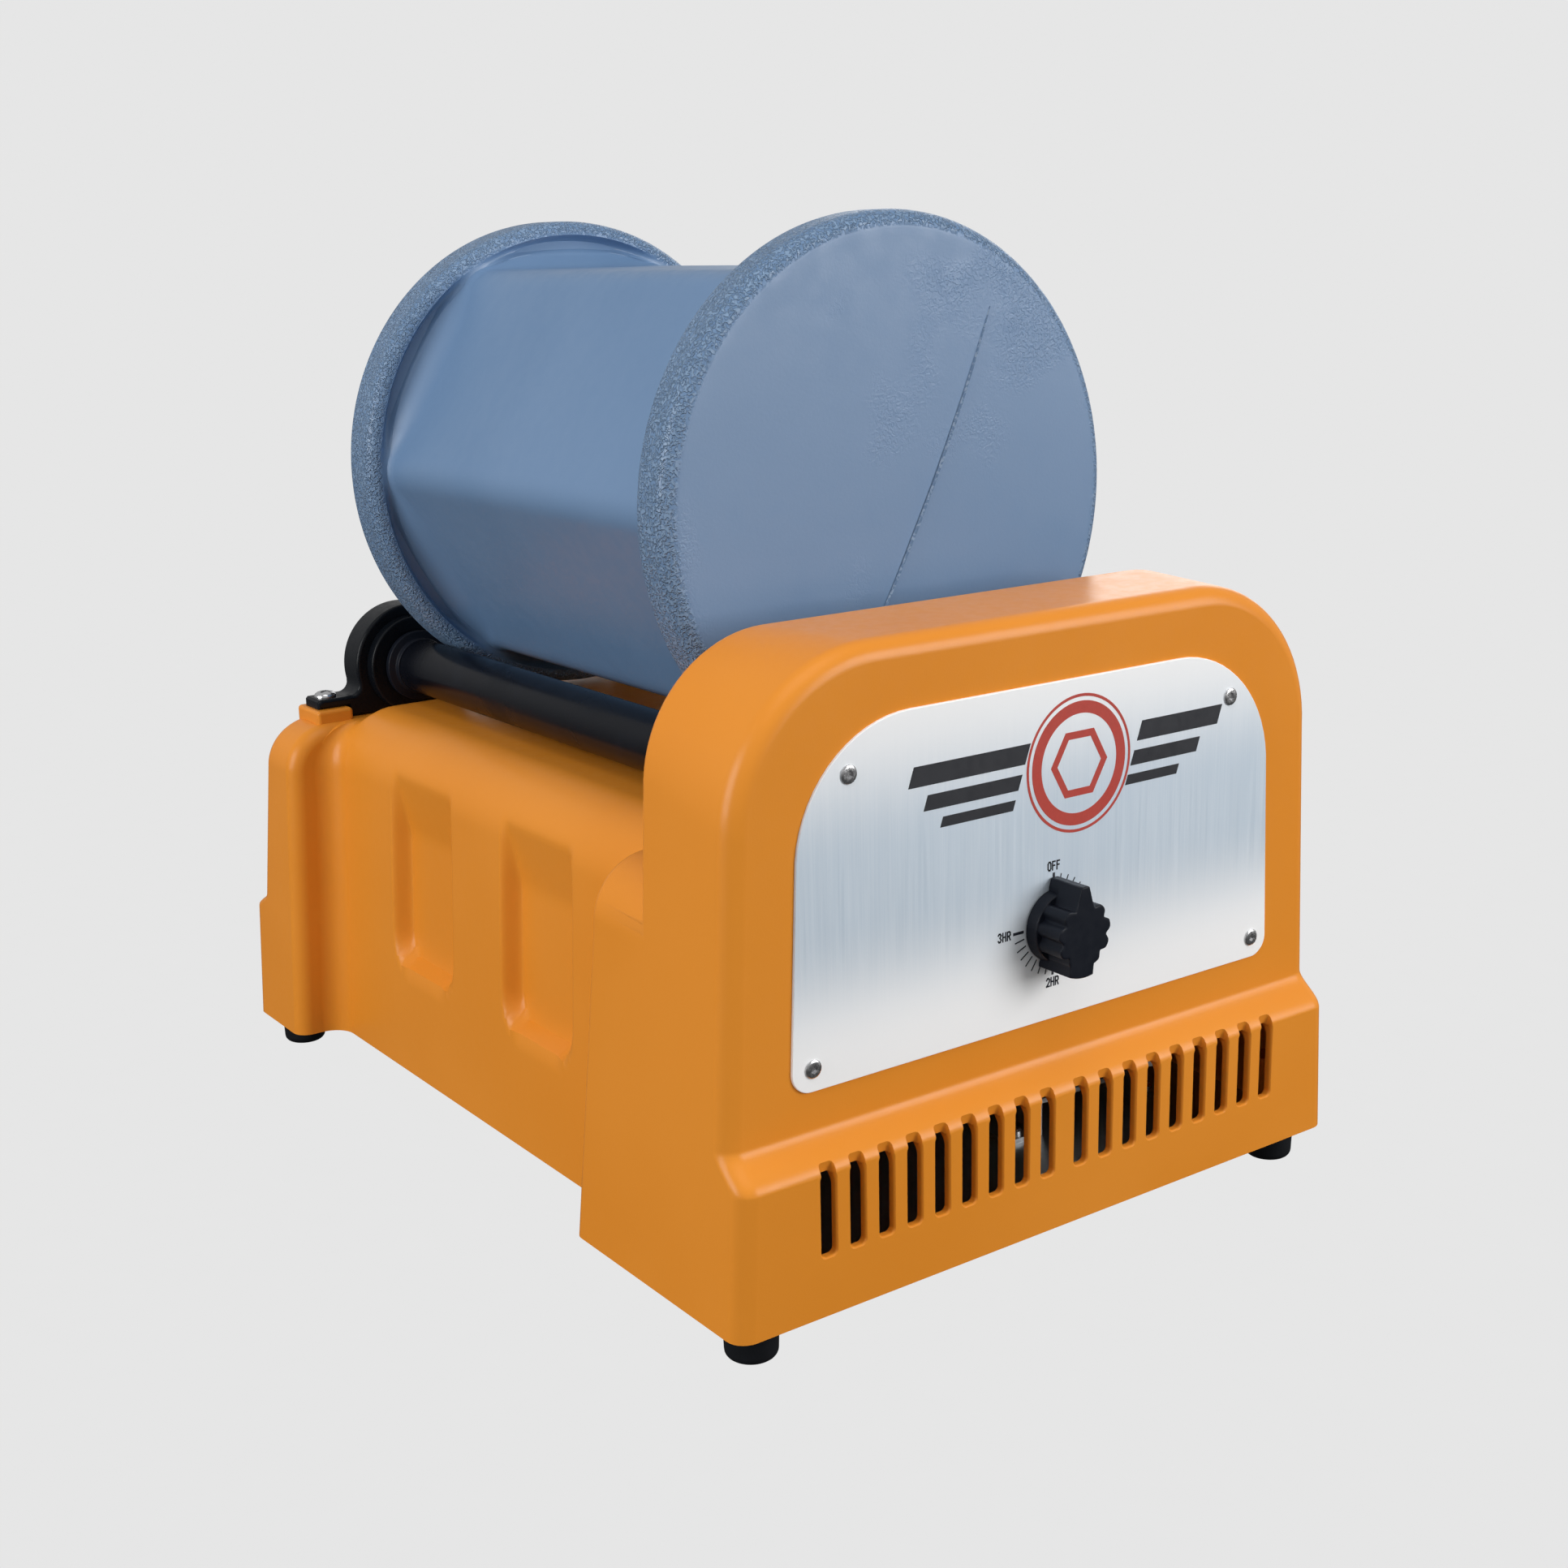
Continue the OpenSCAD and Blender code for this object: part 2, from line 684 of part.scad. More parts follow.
module drive_belt() {
    color("dimgray") placed() xz_prism(belt_y - belt_w / 2, belt_y + belt_w / 2) difference() {
        belt_outline(gap + belt_t);
        belt_outline(gap);
    }
}

// ---- Rollers and their bearings ----

module roller_sleeve() {
    tube(roller_x, roller_z, sleeve_y0, sleeve_y1, roller_r, axle_r);
}

module roller_collar() {
    turned(roller_x, roller_z) polygon([[axle_r, sleeve_y1], [roller_r + 0.6, sleeve_y1],
        [roller_r + 0.6, sleeve_y1 + 2], [roller_r + 4, sleeve_y1 + 2.6], [roller_r + 4, sleeve_y1 + 6],
        [axle_r, sleeve_y1 + 6.6]]);
}

module drive_roller_shaft() {
    color("lightgray") placed() rod(roller_x, roller_z, drive_axle_y0, axle_end_y, axle_r);
}

module drive_roller_sleeve() {
    color("dimgray") placed() roller_sleeve();
}

module drive_roller_collar() {
    color("dimgray") placed() roller_collar();
}

module idler_roller_shaft() {
    color("lightgray") placed() rod(-roller_x, roller_z, idler_axle_y0, axle_end_y, axle_r);
}

module idler_roller_sleeve() {
    color("dimgray") placed() mirror([1, 0, 0]) roller_sleeve();
}

module idler_roller_collar() {
    color("dimgray") placed() mirror([1, 0, 0]) roller_collar();
}

module front_bearing() {
    difference() {
        rod(roller_x, roller_z, front_block_y0, tower_y1 - wall, front_block_r);
        rod(roller_x, roller_z, front_block_y0 - over, tower_y1, bush_r);
        front_screw_places() translate([0, 0, -wall - 10]) cylinder(h = 11, r = pilot_r);
    }
}

module front_bearing_left() {
    color("dimgray") placed() mirror([1, 0, 0]) front_bearing();
}

module front_bearing_right() {
    color("dimgray") placed() front_bearing();
}

module front_bearing_screws() {
    color("silver") placed() front_screw_places() pan_screw(3.2, 2.2, 12);
}

// Pillow block: a ring on a body, a foot each side, and a boss towards the roller
module rear_bearing() {
    top = low_deck_h + pad_h + block_foot_t;
    difference() {
        union() {
            intersection() {
                rod(roller_x, roller_z, block_y0, block_y1, block_r);
                box([0, 0, low_deck_h], [body_w, body_d, tower_h]);
            }
            box([roller_x - pad_x0 + gap, block_y0, low_deck_h], [roller_x + pad_x0 - gap, block_y1, top]);
            box([roller_x - block_foot_x, block_y0, low_deck_h + pad_h],
                [roller_x + block_foot_x, block_y1, top]);
            intersection() {
                rod(roller_x, roller_z, block_y0 - boss_d, block_y0 + over, boss_r);
                box([0, 0, low_deck_h + 3.5], [body_w, body_d, tower_h]);
            }
        }
        rod(roller_x, roller_z, block_y0 - boss_d - over, block_y1 - 2, bush_r);
        block_screw_places() translate([0, 0, -8]) cylinder(h = 9, r = pass_r + 0.2);
    }
}

module rear_bearing_left() {
    color("dimgray") placed() mirror([1, 0, 0]) rear_bearing();
}

module rear_bearing_right() {
    color("dimgray") placed() rear_bearing();
}

module rear_bearing_screws() {
    color("silver") placed() block_screw_places() difference() {
        pan_screw(5.2, 2.6, block_foot_t + 12);
        for (a = [0, 90]) rotate([0, 0, a]) translate([-3, -0.6, 1.4]) cube([6, 1.2, 3]);
    }
}

module roller_bushes() {
    color("goldenrod") placed() both_sides() {
        tube(roller_x, roller_z, front_block_y0, tower_y1 - wall, bush_r, axle_r + run_fit);
        tube(roller_x, roller_z, block_y0 - boss_d, block_y1 - 2, bush_r, axle_r + run_fit);
    }
}

// ---- Drum and lid ----

module hexagon(corner_r, flat) {
    intersection() {
        circle(r = flat / cos(30), $fn = 6);
        circle(r = corner_r, $fn = 96);
    }
}

module flange_profile(y0, r, edge, inset) {
    polygon(concat([[0, y0 + inset]], arc(r - edge, y0 + edge, edge - inset, -90, 0, 5),
        arc(r - edge, y0 + flange_w - edge, edge - inset, 0, 90, 5), [[0, y0 + flange_w - inset]]));
}

module drum_form(inset) {
    turned(0, drum_z) flange_profile(drum_y0, drum_r, 6, inset);
    turned(0, drum_z) flange_profile(drum_y1 - flange_w, drum_r, 6, inset);
    translate([0, 0, drum_z]) xz_prism(drum_y0 + 2 * inset + over, drum_y1 - 2 * inset - over)
        hexagon(hex_r - inset, hex_flat - inset);
}

module drum_barrel() {
    color("lightsteelblue") placed() difference() {
        union() {
            difference() {
                drum_form(0);
                drum_form(drum_wall);
            }
            tube(0, drum_z, drum_y1 - neck_len, drum_y1 - over, mouth_r + drum_wall, mouth_r);
        }
        rod(0, drum_z, drum_y1 - neck_len - over, drum_y1 + over, mouth_r);
    }
}

module lid_cover() {
    color("dimgray") placed() difference() {
        union() {
            rod(0, drum_z, lid_y0, lid_y0 + lid_t, lid_r);
            rod(0, drum_z, press_y1 + 1.5, lid_y0 + over, mouth_r - 6);
        }
        rod(0, drum_z, press_y1, lid_y0 + lid_t + over, stud_r + 0.2);
        tube(0, drum_z, press_y1, lid_y0, mouth_r - 10, stud_r + 5);
    }
}

module lid_gasket() {
    color("black") placed() tube(0, drum_z, press_y1, lid_y0, mouth_r - gap, mouth_r - 6);
}

module lid_pressure_plate() {
    color("silver") placed() tube(0, drum_z, press_y0, press_y1, mouth_r - 2, stud_r);
}

module lid_stud() {
    color("silver") placed() {
        rod(0, drum_z, press_y0 - 4, lid_knob_y0 + 13, stud_r);
        translate([0, press_y0 - 4, drum_z]) rotate([-90, 0, 0]) cylinder(h = 4, r = 7.5, $fn = 6);
    }
}

module lid_washer() {
    color("silver") placed() tube(0, drum_z, lid_y0 + lid_t, lid_knob_y0, 12, stud_r + 0.2);
}

module lid_knob() {
    lobes = 5;
    color("dimgray") placed() difference() {
        union() {
            rod(0, drum_z, lid_knob_y0 + gap, lid_knob_y0 + 9, 11);
            rod(0, drum_z, lid_knob_y0 + 7, lid_knob_y0 + lid_knob_d, 18);
            for (i = [0:lobes - 1]) rod(19 * sin(i * 72), drum_z + 19 * cos(i * 72), lid_knob_y0 + 7,
                lid_knob_y0 + lid_knob_d, 6);
        }
        rod(0, drum_z, lid_knob_y0 - over, lid_knob_y0 + 15, stud_r + run_fit);
    }
}

// ---- Mains inlet ----

module cord_gland() {
    color("dimgray") placed() difference() {
        union() {
            rod(gland_x, gland_z, body_d, body_d + gland_lip, gland_r + 3);
            rod(gland_x, gland_z, body_d - wall - 9, body_d + over, gland_r);
        }
        rod(gland_x, gland_z, body_d - wall - 10, body_d + gland_lip + over, cable_r);
    }
}

module gland_nut() {
    color("dimgray") placed() difference() {
        translate([gland_x, body_d - wall - 5, gland_z]) rotate([-90, 0, 0]) cylinder(h = 5, r = gland_r + 4, $fn = 6);
        rod(gland_x, gland_z, body_d - wall - 6, body_d, gland_r);
    }
}

module terminal_places() {
    for (i = [0:2]) translate([terminal_pos[0] - 9 + 9 * i, terminal_pos[1], plate_top + 15]) children();
}

module terminal_block() {
    color("white") placed() difference() {
        box([terminal_pos[0] - 14, terminal_pos[1] - 8, plate_top],
            [terminal_pos[0] + 14, terminal_pos[1] + 8, plate_top + 15]);
        terminal_places() translate([0, 0, -8]) cylinder(h = 9, r = 1.6, $fn = 24);
    }
}

module terminal_screws() {
    color("silver") placed() terminal_places() {
        translate([0, 0, -6]) cylinder(h = 4, r = 1.5, $fn = 24);
    }
}

housing();
bottom_plate();
bottom_plate_screws();
rubber_feet();
foot_screws();
face_plate();
face_plate_screws();
timer_case();
timer_nut();
timer_shaft();
timer_knob();
motor_stator();
motor_coil();
motor_front_bracket();
motor_rear_bracket();
motor_bushes();
motor_bolts();
motor_mount();
motor_mount_screws();
motor_shaft();
motor_rotor();
motor_fan();
motor_pulley();
drive_belt();
roller_pulley();
drive_roller_shaft();
drive_roller_sleeve();
drive_roller_collar();
idler_roller_shaft();
idler_roller_sleeve();
idler_roller_collar();
front_bearing_left();
front_bearing_right();
front_bearing_screws();
rear_bearing_left();
rear_bearing_right();
rear_bearing_screws();
roller_bushes();
drum_barrel();
lid_cover();
lid_gasket();
lid_pressure_plate();
lid_stud();
lid_washer();
lid_knob();
cord_gland();
gland_nut();
terminal_block();
terminal_screws();
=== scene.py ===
import math

import bmesh
import bpy
from mathutils import Matrix, Vector


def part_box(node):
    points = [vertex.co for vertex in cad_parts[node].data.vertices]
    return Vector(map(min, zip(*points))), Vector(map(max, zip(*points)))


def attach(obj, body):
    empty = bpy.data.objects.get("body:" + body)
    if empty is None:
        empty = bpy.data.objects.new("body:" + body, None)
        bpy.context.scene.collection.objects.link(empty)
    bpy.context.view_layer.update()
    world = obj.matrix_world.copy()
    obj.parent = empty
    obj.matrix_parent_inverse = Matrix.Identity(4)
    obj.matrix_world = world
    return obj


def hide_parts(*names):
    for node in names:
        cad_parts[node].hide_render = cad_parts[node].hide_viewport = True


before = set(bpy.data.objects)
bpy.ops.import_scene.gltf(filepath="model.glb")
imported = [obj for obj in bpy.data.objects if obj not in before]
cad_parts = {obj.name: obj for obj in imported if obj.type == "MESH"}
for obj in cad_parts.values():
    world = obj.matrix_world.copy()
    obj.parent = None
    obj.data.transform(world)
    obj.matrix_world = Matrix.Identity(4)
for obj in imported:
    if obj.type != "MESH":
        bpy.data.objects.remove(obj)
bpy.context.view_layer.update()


# ---- Studio ----
# A pale seamless floor, large soft lights on each side, behind and above, and the camera.
# The camera stands to the left of the front panel, a little above the drum.

mm = 0.001
shell_low, shell_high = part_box("housing")
front = shell_low.y
base = shell_low.z

camera_place = Vector((-0.50309, front - 0.52391, base + 0.3626))
camera_yaw, camera_pitch, camera_roll = (math.radians(a) for a in (-35.7235, 14.6229, -1.1907))
camera = bpy.data.objects.new("camera", bpy.data.cameras.new("camera"))
camera.data.lens = 47.662
camera.data.sensor_width = 36
camera.data.clip_start = 0.01
turn = Matrix.Rotation(camera_yaw, 4, "Z") @ Matrix.Rotation(math.pi / 2 - camera_pitch, 4, "X")
camera.matrix_world = Matrix.Translation(camera_place) @ turn @ Matrix.Rotation(camera_roll, 4, "Z")
bpy.context.scene.collection.objects.link(camera)
bpy.context.scene.camera = camera
bpy.context.scene.view_settings.view_transform = "Standard"


middle = Vector((0, 0, 0.15))


def soft_light(name, place, size, watts):
    light = bpy.data.objects.new(name, bpy.data.lights.new(name, "AREA"))
    light.data.shape = "SQUARE"
    light.data.size = size
    light.data.energy = watts
    aim = (middle - Vector(place)).to_track_quat("-Z", "Y")
    light.matrix_world = Matrix.Translation(place) @ aim.to_matrix().to_4x4()
    bpy.context.scene.collection.objects.link(light)


soft_light("light_front_right", (1.25, -1.85, 0.9), 1.3, 36)
soft_light("light_left", (-2.0, 0.0, 0.75), 1.2, 25)
soft_light("light_behind", (1.8, 1.4, 0.8), 1.3, 10)
soft_light("light_above", (-0.2, -0.6, 2.0), 1.3, 7)

world = bpy.data.worlds.new("studio")
bpy.context.scene.world = world
world.use_nodes = True
sky = world.node_tree.nodes["Background"]
sky.inputs["Color"].default_value = (0.8, 0.8, 0.8, 1)
sky_place = world.node_tree.nodes.new("ShaderNodeTexCoord")
sky_height = world.node_tree.nodes.new("ShaderNodeSeparateXYZ")
sky_fade = world.node_tree.nodes.new("ShaderNodeMapRange")
for socket, value in (("From Min", -0.35), ("From Max", 0.3), ("To Min", 0.08), ("To Max", 0.55)):
    sky_fade.inputs[socket].default_value = value
world.node_tree.links.new(sky_place.outputs["Generated"], sky_height.inputs[0])
world.node_tree.links.new(sky_height.outputs["Z"], sky_fade.inputs["Value"])
world.node_tree.links.new(sky_fade.outputs[0], sky.inputs["Strength"])


class Signal:
    """A number that varies over a surface. Its maths adds Math nodes to the finish it belongs to."""

    def __init__(self, finish, socket):
        self.finish = finish
        self.socket = socket

    def maths(self, operation, first, second=0.5):
        return self.finish.add("ShaderNodeMath", {"operation": operation}, {0: first, 1: second})

    def __add__(self, other):
        return self.maths("ADD", self, other)

    def __sub__(self, other):
        return self.maths("SUBTRACT", self, other)

    def __rsub__(self, other):
        return self.maths("SUBTRACT", other, self)

    def __mul__(self, other):
        return self.maths("MULTIPLY", self, other)

    __radd__ = __add__
    __rmul__ = __mul__


class Finish:
    """One material. Its shader's constants go on the sockets; what varies is linked."""

    def __init__(self, name):
        self.material = bpy.data.materials.new(name)
        self.material.use_nodes = True
        self.tree = self.material.node_tree
        self.shader = self.tree.nodes["Principled BSDF"]
        self.place = self.add("ShaderNodeTexCoord", output="Object")

    def add(self, kind, settings=None, inputs=None, output=0):
        node = self.tree.nodes.new(kind)
        for key, value in (settings or {}).items():
            setattr(node, key, value)
        for key, value in (inputs or {}).items():
            self.give(node.inputs[key], value)
        return Signal(self, node.outputs[output])

    def give(self, socket, value):
        if isinstance(value, Signal):
            self.tree.links.new(value.socket, socket)
        else:
            socket.default_value = value

    def set(self, **inputs):
        for key, value in inputs.items():
            self.give(self.shader.inputs[key.replace("_", " ").title().replace("Ior", "IOR")], value)
        return self.material

    def noise(self, scale, detail=3.0, roughness=0.55, distortion=0.0, at=None):
        inputs = {"Vector": at or self.place, "Scale": scale, "Detail": detail, "Roughness": roughness,
                  "Distortion": distortion}
        return self.add("ShaderNodeTexNoise", None, inputs)

    def ramp(self, value, low, high, to_low=0.0, to_high=1.0):
        inputs = {"Value": value, "From Min": low, "From Max": high, "To Min": to_low, "To Max": to_high}
        return self.add("ShaderNodeMapRange", {"interpolation_type": "SMOOTHSTEP"}, inputs)

    def blend(self, factor, first, second):
        inputs = {"Factor": factor, 6: first, 7: second}
        return self.add("ShaderNodeMix", {"data_type": "RGBA"}, inputs, output=2)

    def mottle(self, scale, low, high, detail=3):
        """A value between two limits that drifts over the surface, such as a roughness."""
        return self.ramp(self.noise(scale, detail), 0.3, 0.7, low, high)

    def bump(self, height, distance, strength=1.0, under=None):
        inputs = {"Height": height, "Distance": distance, "Strength": strength}
        if under:
            inputs["Normal"] = under
        return self.add("ShaderNodeBump", None, inputs)

    def paler(self, colour, times):
        return tuple(min(part * times, 1) for part in colour[:3]) + (1,)

    def axis(self, name):
        return self.add("ShaderNodeSeparateXYZ", None, {0: self.place}, output=name)


def spun(points, centre, axis, steps, closed=False):
    """A line of points swept once round an axis. A closed line is a loop, such as a tube's wall."""
    mesh = bmesh.new()
    corners = [mesh.verts.new(point) for point in points]
    ends = corners[1:] + corners[:1] if closed else corners[1:]
    edges = [mesh.edges.new(pair) for pair in zip(corners, ends)]
    bmesh.ops.spin(mesh, geom=corners + edges, cent=centre, axis=axis, angle=2 * math.pi, steps=steps,
                   use_merge=True)
    bmesh.ops.recalc_face_normals(mesh, faces=mesh.faces)
    return mesh


def solid(mesh, name="part"):
    shape = bpy.data.objects.new(name, bpy.data.meshes.new(name))
    mesh.to_mesh(shape.data)
    mesh.free()
    bpy.context.scene.collection.objects.link(shape)
    return shape


def pale_floor():
    finish = Finish("pale_floor")
    grain = finish.blend(finish.noise(60, 4), (0.787, 0.787, 0.787, 1), (0.795, 0.795, 0.795, 1))
    return finish.set(base_color=(0, 0, 0, 1), roughness=1.0, specular_ior_level=0.0, emission_strength=1.0,
                      emission_color=grain)


upright = (0, 0, 1)
sweep = [(0.001, 0), (6, 0), (7.5, 0.4), (8.6, 1.5), (9, 3), (9, 10), (0.001, 13)]
floor = solid(spun([(r, 0, z) for r, z in sweep], (0, 0, 0), upright, 48), "floor")
floor.data.materials.append(pale_floor())
floor.visible_diffuse = False
floor.visible_glossy = False
floor.visible_shadow = False


# ---- Housing ----
# One injection-moulded shell of orange plastic, 3 mm thick and open below. It has a tall arched
# tower with a stepped plinth and cooling slots, a lower body with two pockets pressed into each
# side, and a rear block with pads for the bearing blocks. Screws from below hold it to its base.

wall = 3 * mm
tower_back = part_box("front_bearing_right")[1].y + wall
tower_top = shell_high.z
half = shell_high.x
drum_low, drum_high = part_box("drum_barrel")
deck_top = base + 155.5 * mm
low_deck_top = base + 149 * mm
body_half = half - 22.4 * mm
lean = 0.05


def smooth(value, low, high):
    t = min(max((value - low) / (high - low), 0), 1)
    return t * t * (3 - 2 * t)


def quarter(radius, steps):
    """The (inset, advance) pairs of a round edge, from the flat end face to the side."""
    angles = [math.pi / 2 * i / steps for i in range(steps + 1)]
    return [(radius * (1 - math.sin(angle)), radius * (1 - math.cos(angle))) for angle in angles]


def arch(y, half_width, top, corner, low, inset=0, steps=20, uprights=1):
    """A closed ring across the housing: upright leaning sides, round upper corners and a flat foot."""
    corner = max(corner - inset, 1 * mm)
    top = top - inset
    half_width = half_width - inset
    shoulder = top - corner
    right = []
    for i in range(uprights):
        z = low + (shoulder - low) * i / uprights
        right.append((half_width - lean * (z - base), z))
    centre = half_width - lean * (shoulder - base) - corner
    for i in range(steps + 1):
        angle = math.pi / 2 * i / steps
        right.append((centre + corner * math.cos(angle), shoulder + corner * math.sin(angle)))
    left = [(-x, z) for x, z in reversed(right)]
    return [(x, y, z) for x, z in right + left]


def lofted(rings):
    """Bridges closed rings of points one after another, and closes both ends."""
    mesh = bmesh.new()
    loops = []
    for ring in rings:
        corners = [mesh.verts.new(point) for point in ring]
        loops.append([mesh.edges.new(pair) for pair in zip(corners, corners[1:] + corners[:1])])
    for first, second in zip(loops, loops[1:]):
        bmesh.ops.bridge_loops(mesh, edges=first + second)
    for end in (loops[0], loops[-1]):
        bmesh.ops.contextual_create(mesh, geom=end)
    bmesh.ops.recalc_face_normals(mesh, faces=mesh.faces)
    return mesh


def cut_levels(mesh, levels):
    """Adds a line of corners round a mesh at each height."""
    for level in levels:
        bmesh.ops.bisect_plane(mesh, geom=mesh.verts[:] + mesh.edges[:] + mesh.faces[:],
                               plane_co=(0, 0, level), plane_no=upright)


def combine(shape, operation, *others):
    """Joins other solids to a solid, or cuts them from it, and removes them."""
    for other in others:
        change = shape.modifiers.new("combine", "BOOLEAN")
        change.operation = operation
        change.solver = "EXACT"
        change.object = other
        result = bpy.data.meshes.new_from_object(shape.evaluated_get(bpy.context.evaluated_depsgraph_get()))
        shape.modifiers.clear()
        old = shape.data
        shape.data = result
        bpy.data.meshes.remove(old)
        bpy.data.objects.remove(other)
    return shape


def soften(shape, angle=32):
    """Shades a mesh smooth, apart from edges that turn by more than an angle."""
    shape.data.polygons.foreach_set("use_smooth", [True] * len(shape.data.polygons))
    shape.data.set_sharp_from_angle(angle=math.radians(angle))
    even = shape.modifiers.new("even_shading", "WEIGHTED_NORMAL")
    even.keep_sharp = True
    even.weight = 50
    shape.data.update()
    return shape


def finished(shape, name, material, slot, body, *nodes):
    """Names a piece, gives it its finish, and fixes it to the body that it moves with."""
    shape.name = name
    shape.data.name = name
    shape.data.materials.clear()
    shape.data.materials.append(material)
    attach(shape, body)
    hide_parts(*nodes)
    return shape


plinth_top = base + 57 * mm
plinth_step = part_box("face_plate")[1].y - front
step_foot, step_head = 4 * mm, 9.5 * mm
tower_corner, tower_back_corner = 62 * mm, 52 * mm


def front_step(z, inset=0):
    """How far the front face stands back at a height: the plinth below, the tower above."""
    return plinth_step * smooth(z + inset * 1.7, plinth_top - step_foot, plinth_top + step_head)


def tower(inset, low):
    front_round, back_round = 7.5 * mm, 4.5 * mm
    start, end = front + inset, tower_back - inset
    rings = []
    for edge, depth in quarter(front_round - inset, 7):
        rings.append(arch(start + depth, half, tower_top, tower_corner, low, inset + edge))
    for edge, depth in reversed(quarter(max(back_round - inset, 1 * mm), 5)):
        rings.append(arch(end - depth, half, tower_top, tower_back_corner, low, inset + edge))
    mesh = lofted(rings)
    rises = (-4, -3.2, -2.4, -1.6, -0.8, 0, 1, 2, 3, 4, 5, 6, 6.8, 7.6, 8.4, 9.5)
    cut_levels(mesh, [plinth_top + rise * mm - inset * 1.7 for rise in rises])
    for corner in mesh.verts:
        if corner.co.y < start + front_round + 1 * mm:
            corner.co.y += front_step(corner.co.z, inset)
    return solid(mesh)


flank_top = base + 150 * mm
flank_back = front + 109.5 * mm
flank_corner = 24 * mm
flank_edge = 5 * mm


def flank(inset, low):
    """The tower's wider foot. Its back leans forward, and its top rolls over the lower body."""
    rings = [arch(front + 30 * mm, half, flank_top, flank_corner, low, inset)]
    for edge, depth in reversed(quarter(flank_edge - inset, 5)):
        rings.append(arch(flank_back - inset - depth, half, flank_top, flank_corner, low, inset + edge))
    mesh = lofted(rings)
    cut_levels(mesh, [base + z * mm for z in (40, 74, 99, 123)])
    for corner in mesh.verts:
        if corner.co.y > front + 90 * mm:
            corner.co.y -= 10.5 * mm * min((corner.co.z - base) / (123 * mm), 1)
    return solid(mesh)


pocket_half = 28.5 * mm
pocket_low = 48.5 * mm
pocket_corner = 14 * mm
pocket_depth = 7.5 * mm
pocket_fade, pocket_open = 32 * mm, base + 142 * mm
pocket_centres = (front + 178 * mm, front + 279.5 * mm)
rear_front = drum_high.y + 9.5 * mm


def pocket_share(y, z):
    """1 in a pocket's floor, 0 outside it, with a soft edge between. The pocket is open at its top."""
    share = 0
    for centre in pocket_centres:
        across = abs(y - centre) - (pocket_half - pocket_corner)
        down = (base + pocket_low + pocket_corner) - z
        if across > 0 and down > 0:
            distance = math.hypot(across, down)
        else:
            distance = max(across, down)
        share = max(share, 1 - smooth(distance, pocket_corner - 5 * mm, pocket_corner + 1 * mm))
    return share


def lower_body(inset, low):
    """The body below the drum. It flares out at the rear block, and its sides take the pockets."""
    start, end = front + 45 * mm, drum_high.y + 30 * mm
    flare = 11 * mm
    stations = [start, front + 120 * mm]
    for centre in pocket_centres:
        stations += [centre + side * (pocket_half + d * mm) for side in (-1, 1) for d in range(-15, 4)]
        stations += [centre]
    stations += [rear_front - flare * (1 - math.sin(math.pi / 2 * i / 8)) for i in range(9)]
    stations += [rear_front + d * mm for d in (2, 4, 6, 8, 10, 12)] + [end]
    rings = []
    for y in sorted(stations):
        drop = smooth(y, rear_front - 9.5 * mm, rear_front - 1 * mm)
        top = deck_top + (low_deck_top - deck_top) * drop
        along = min(max(y - (rear_front - flare), 0), flare)
        spread = flare - math.sqrt(flare ** 2 - along ** 2)
        ring = arch(y, body_half + spread, top, (27.6 - 5.6 * drop) * mm, low, inset, 16, 34)
        pressed = []
        for x, y, z in ring:
            depth = pocket_depth * min((pocket_open - z) / pocket_fade, 1)
            over = abs(x) - (body_half - inset - lean * (z - base) - depth)
            if over > 0 and z < pocket_open:
                x -= math.copysign(over * pocket_share(y, z), x)
            pressed.append((x, y, z))
        rings.append(pressed)
    return solid(lofted(rings))


rear_step_top = base + 55 * mm
rear_corner = 22 * mm
rear_lean = 0.115


def rear_block(inset, low):
    """The block behind the drum. Its back leans forward above its own low plinth."""
    rings = []
    for edge, depth in quarter(7 * mm - inset, 5):
        rings.append(arch(rear_front + inset + depth, half, low_deck_top, rear_corner, low, inset + edge))
    for edge, depth in reversed(quarter(9 * mm - inset, 6)):
        rings.append(arch(shell_high.y - inset - depth, half, low_deck_top, rear_corner, low, inset + edge))
    mesh = lofted(rings)
    cut_levels(mesh, [rear_step_top + d * mm for d in range(-1, 8)] + [base + 90 * mm, base + 120 * mm])
    for corner in mesh.verts:
        if corner.co.y > shell_high.y - 14 * mm:
            back = 9.5 * mm * smooth(corner.co.z, rear_step_top - 1 * mm, rear_step_top + 7 * mm)
            corner.co.y -= back + rear_lean * max(corner.co.z - rear_step_top, 0)
    return solid(mesh)


def bevelled_box(low, high, radius, segments):
    mesh = bmesh.new()
    low, high = Vector(low), Vector(high)
    size = Matrix.Diagonal((*(high - low), 1))
    bmesh.ops.create_cube(mesh, size=1, matrix=Matrix.Translation((low + high) / 2) @ size)
    bmesh.ops.bevel(mesh, geom=mesh.edges[:], offset=radius, offset_type="OFFSET", segments=segments,
                    profile=0.5, affect="EDGES", material=-1)
    return solid(mesh)


def cylinder(place, radius, length, sides):
    mesh = bmesh.new()
    bmesh.ops.create_cone(mesh, cap_ends=True, segments=sides, radius1=radius, radius2=radius, depth=length,
                          matrix=place)
    return solid(mesh)


def rod(x, z, start, end, radius):
    """A round bar that runs from front to back."""
    place = Matrix.Translation((x, (start + end) / 2, z)) @ Matrix.Rotation(math.pi / 2, 4, "X")
    return cylinder(place, radius, end - start, 48)


vent_width = 6.5 * mm
vent_high = base + 53.3 * mm
vent_pitch = 12.8 * mm
vent_low = base + 22.4 * mm


slot_corner = 2.2 * mm


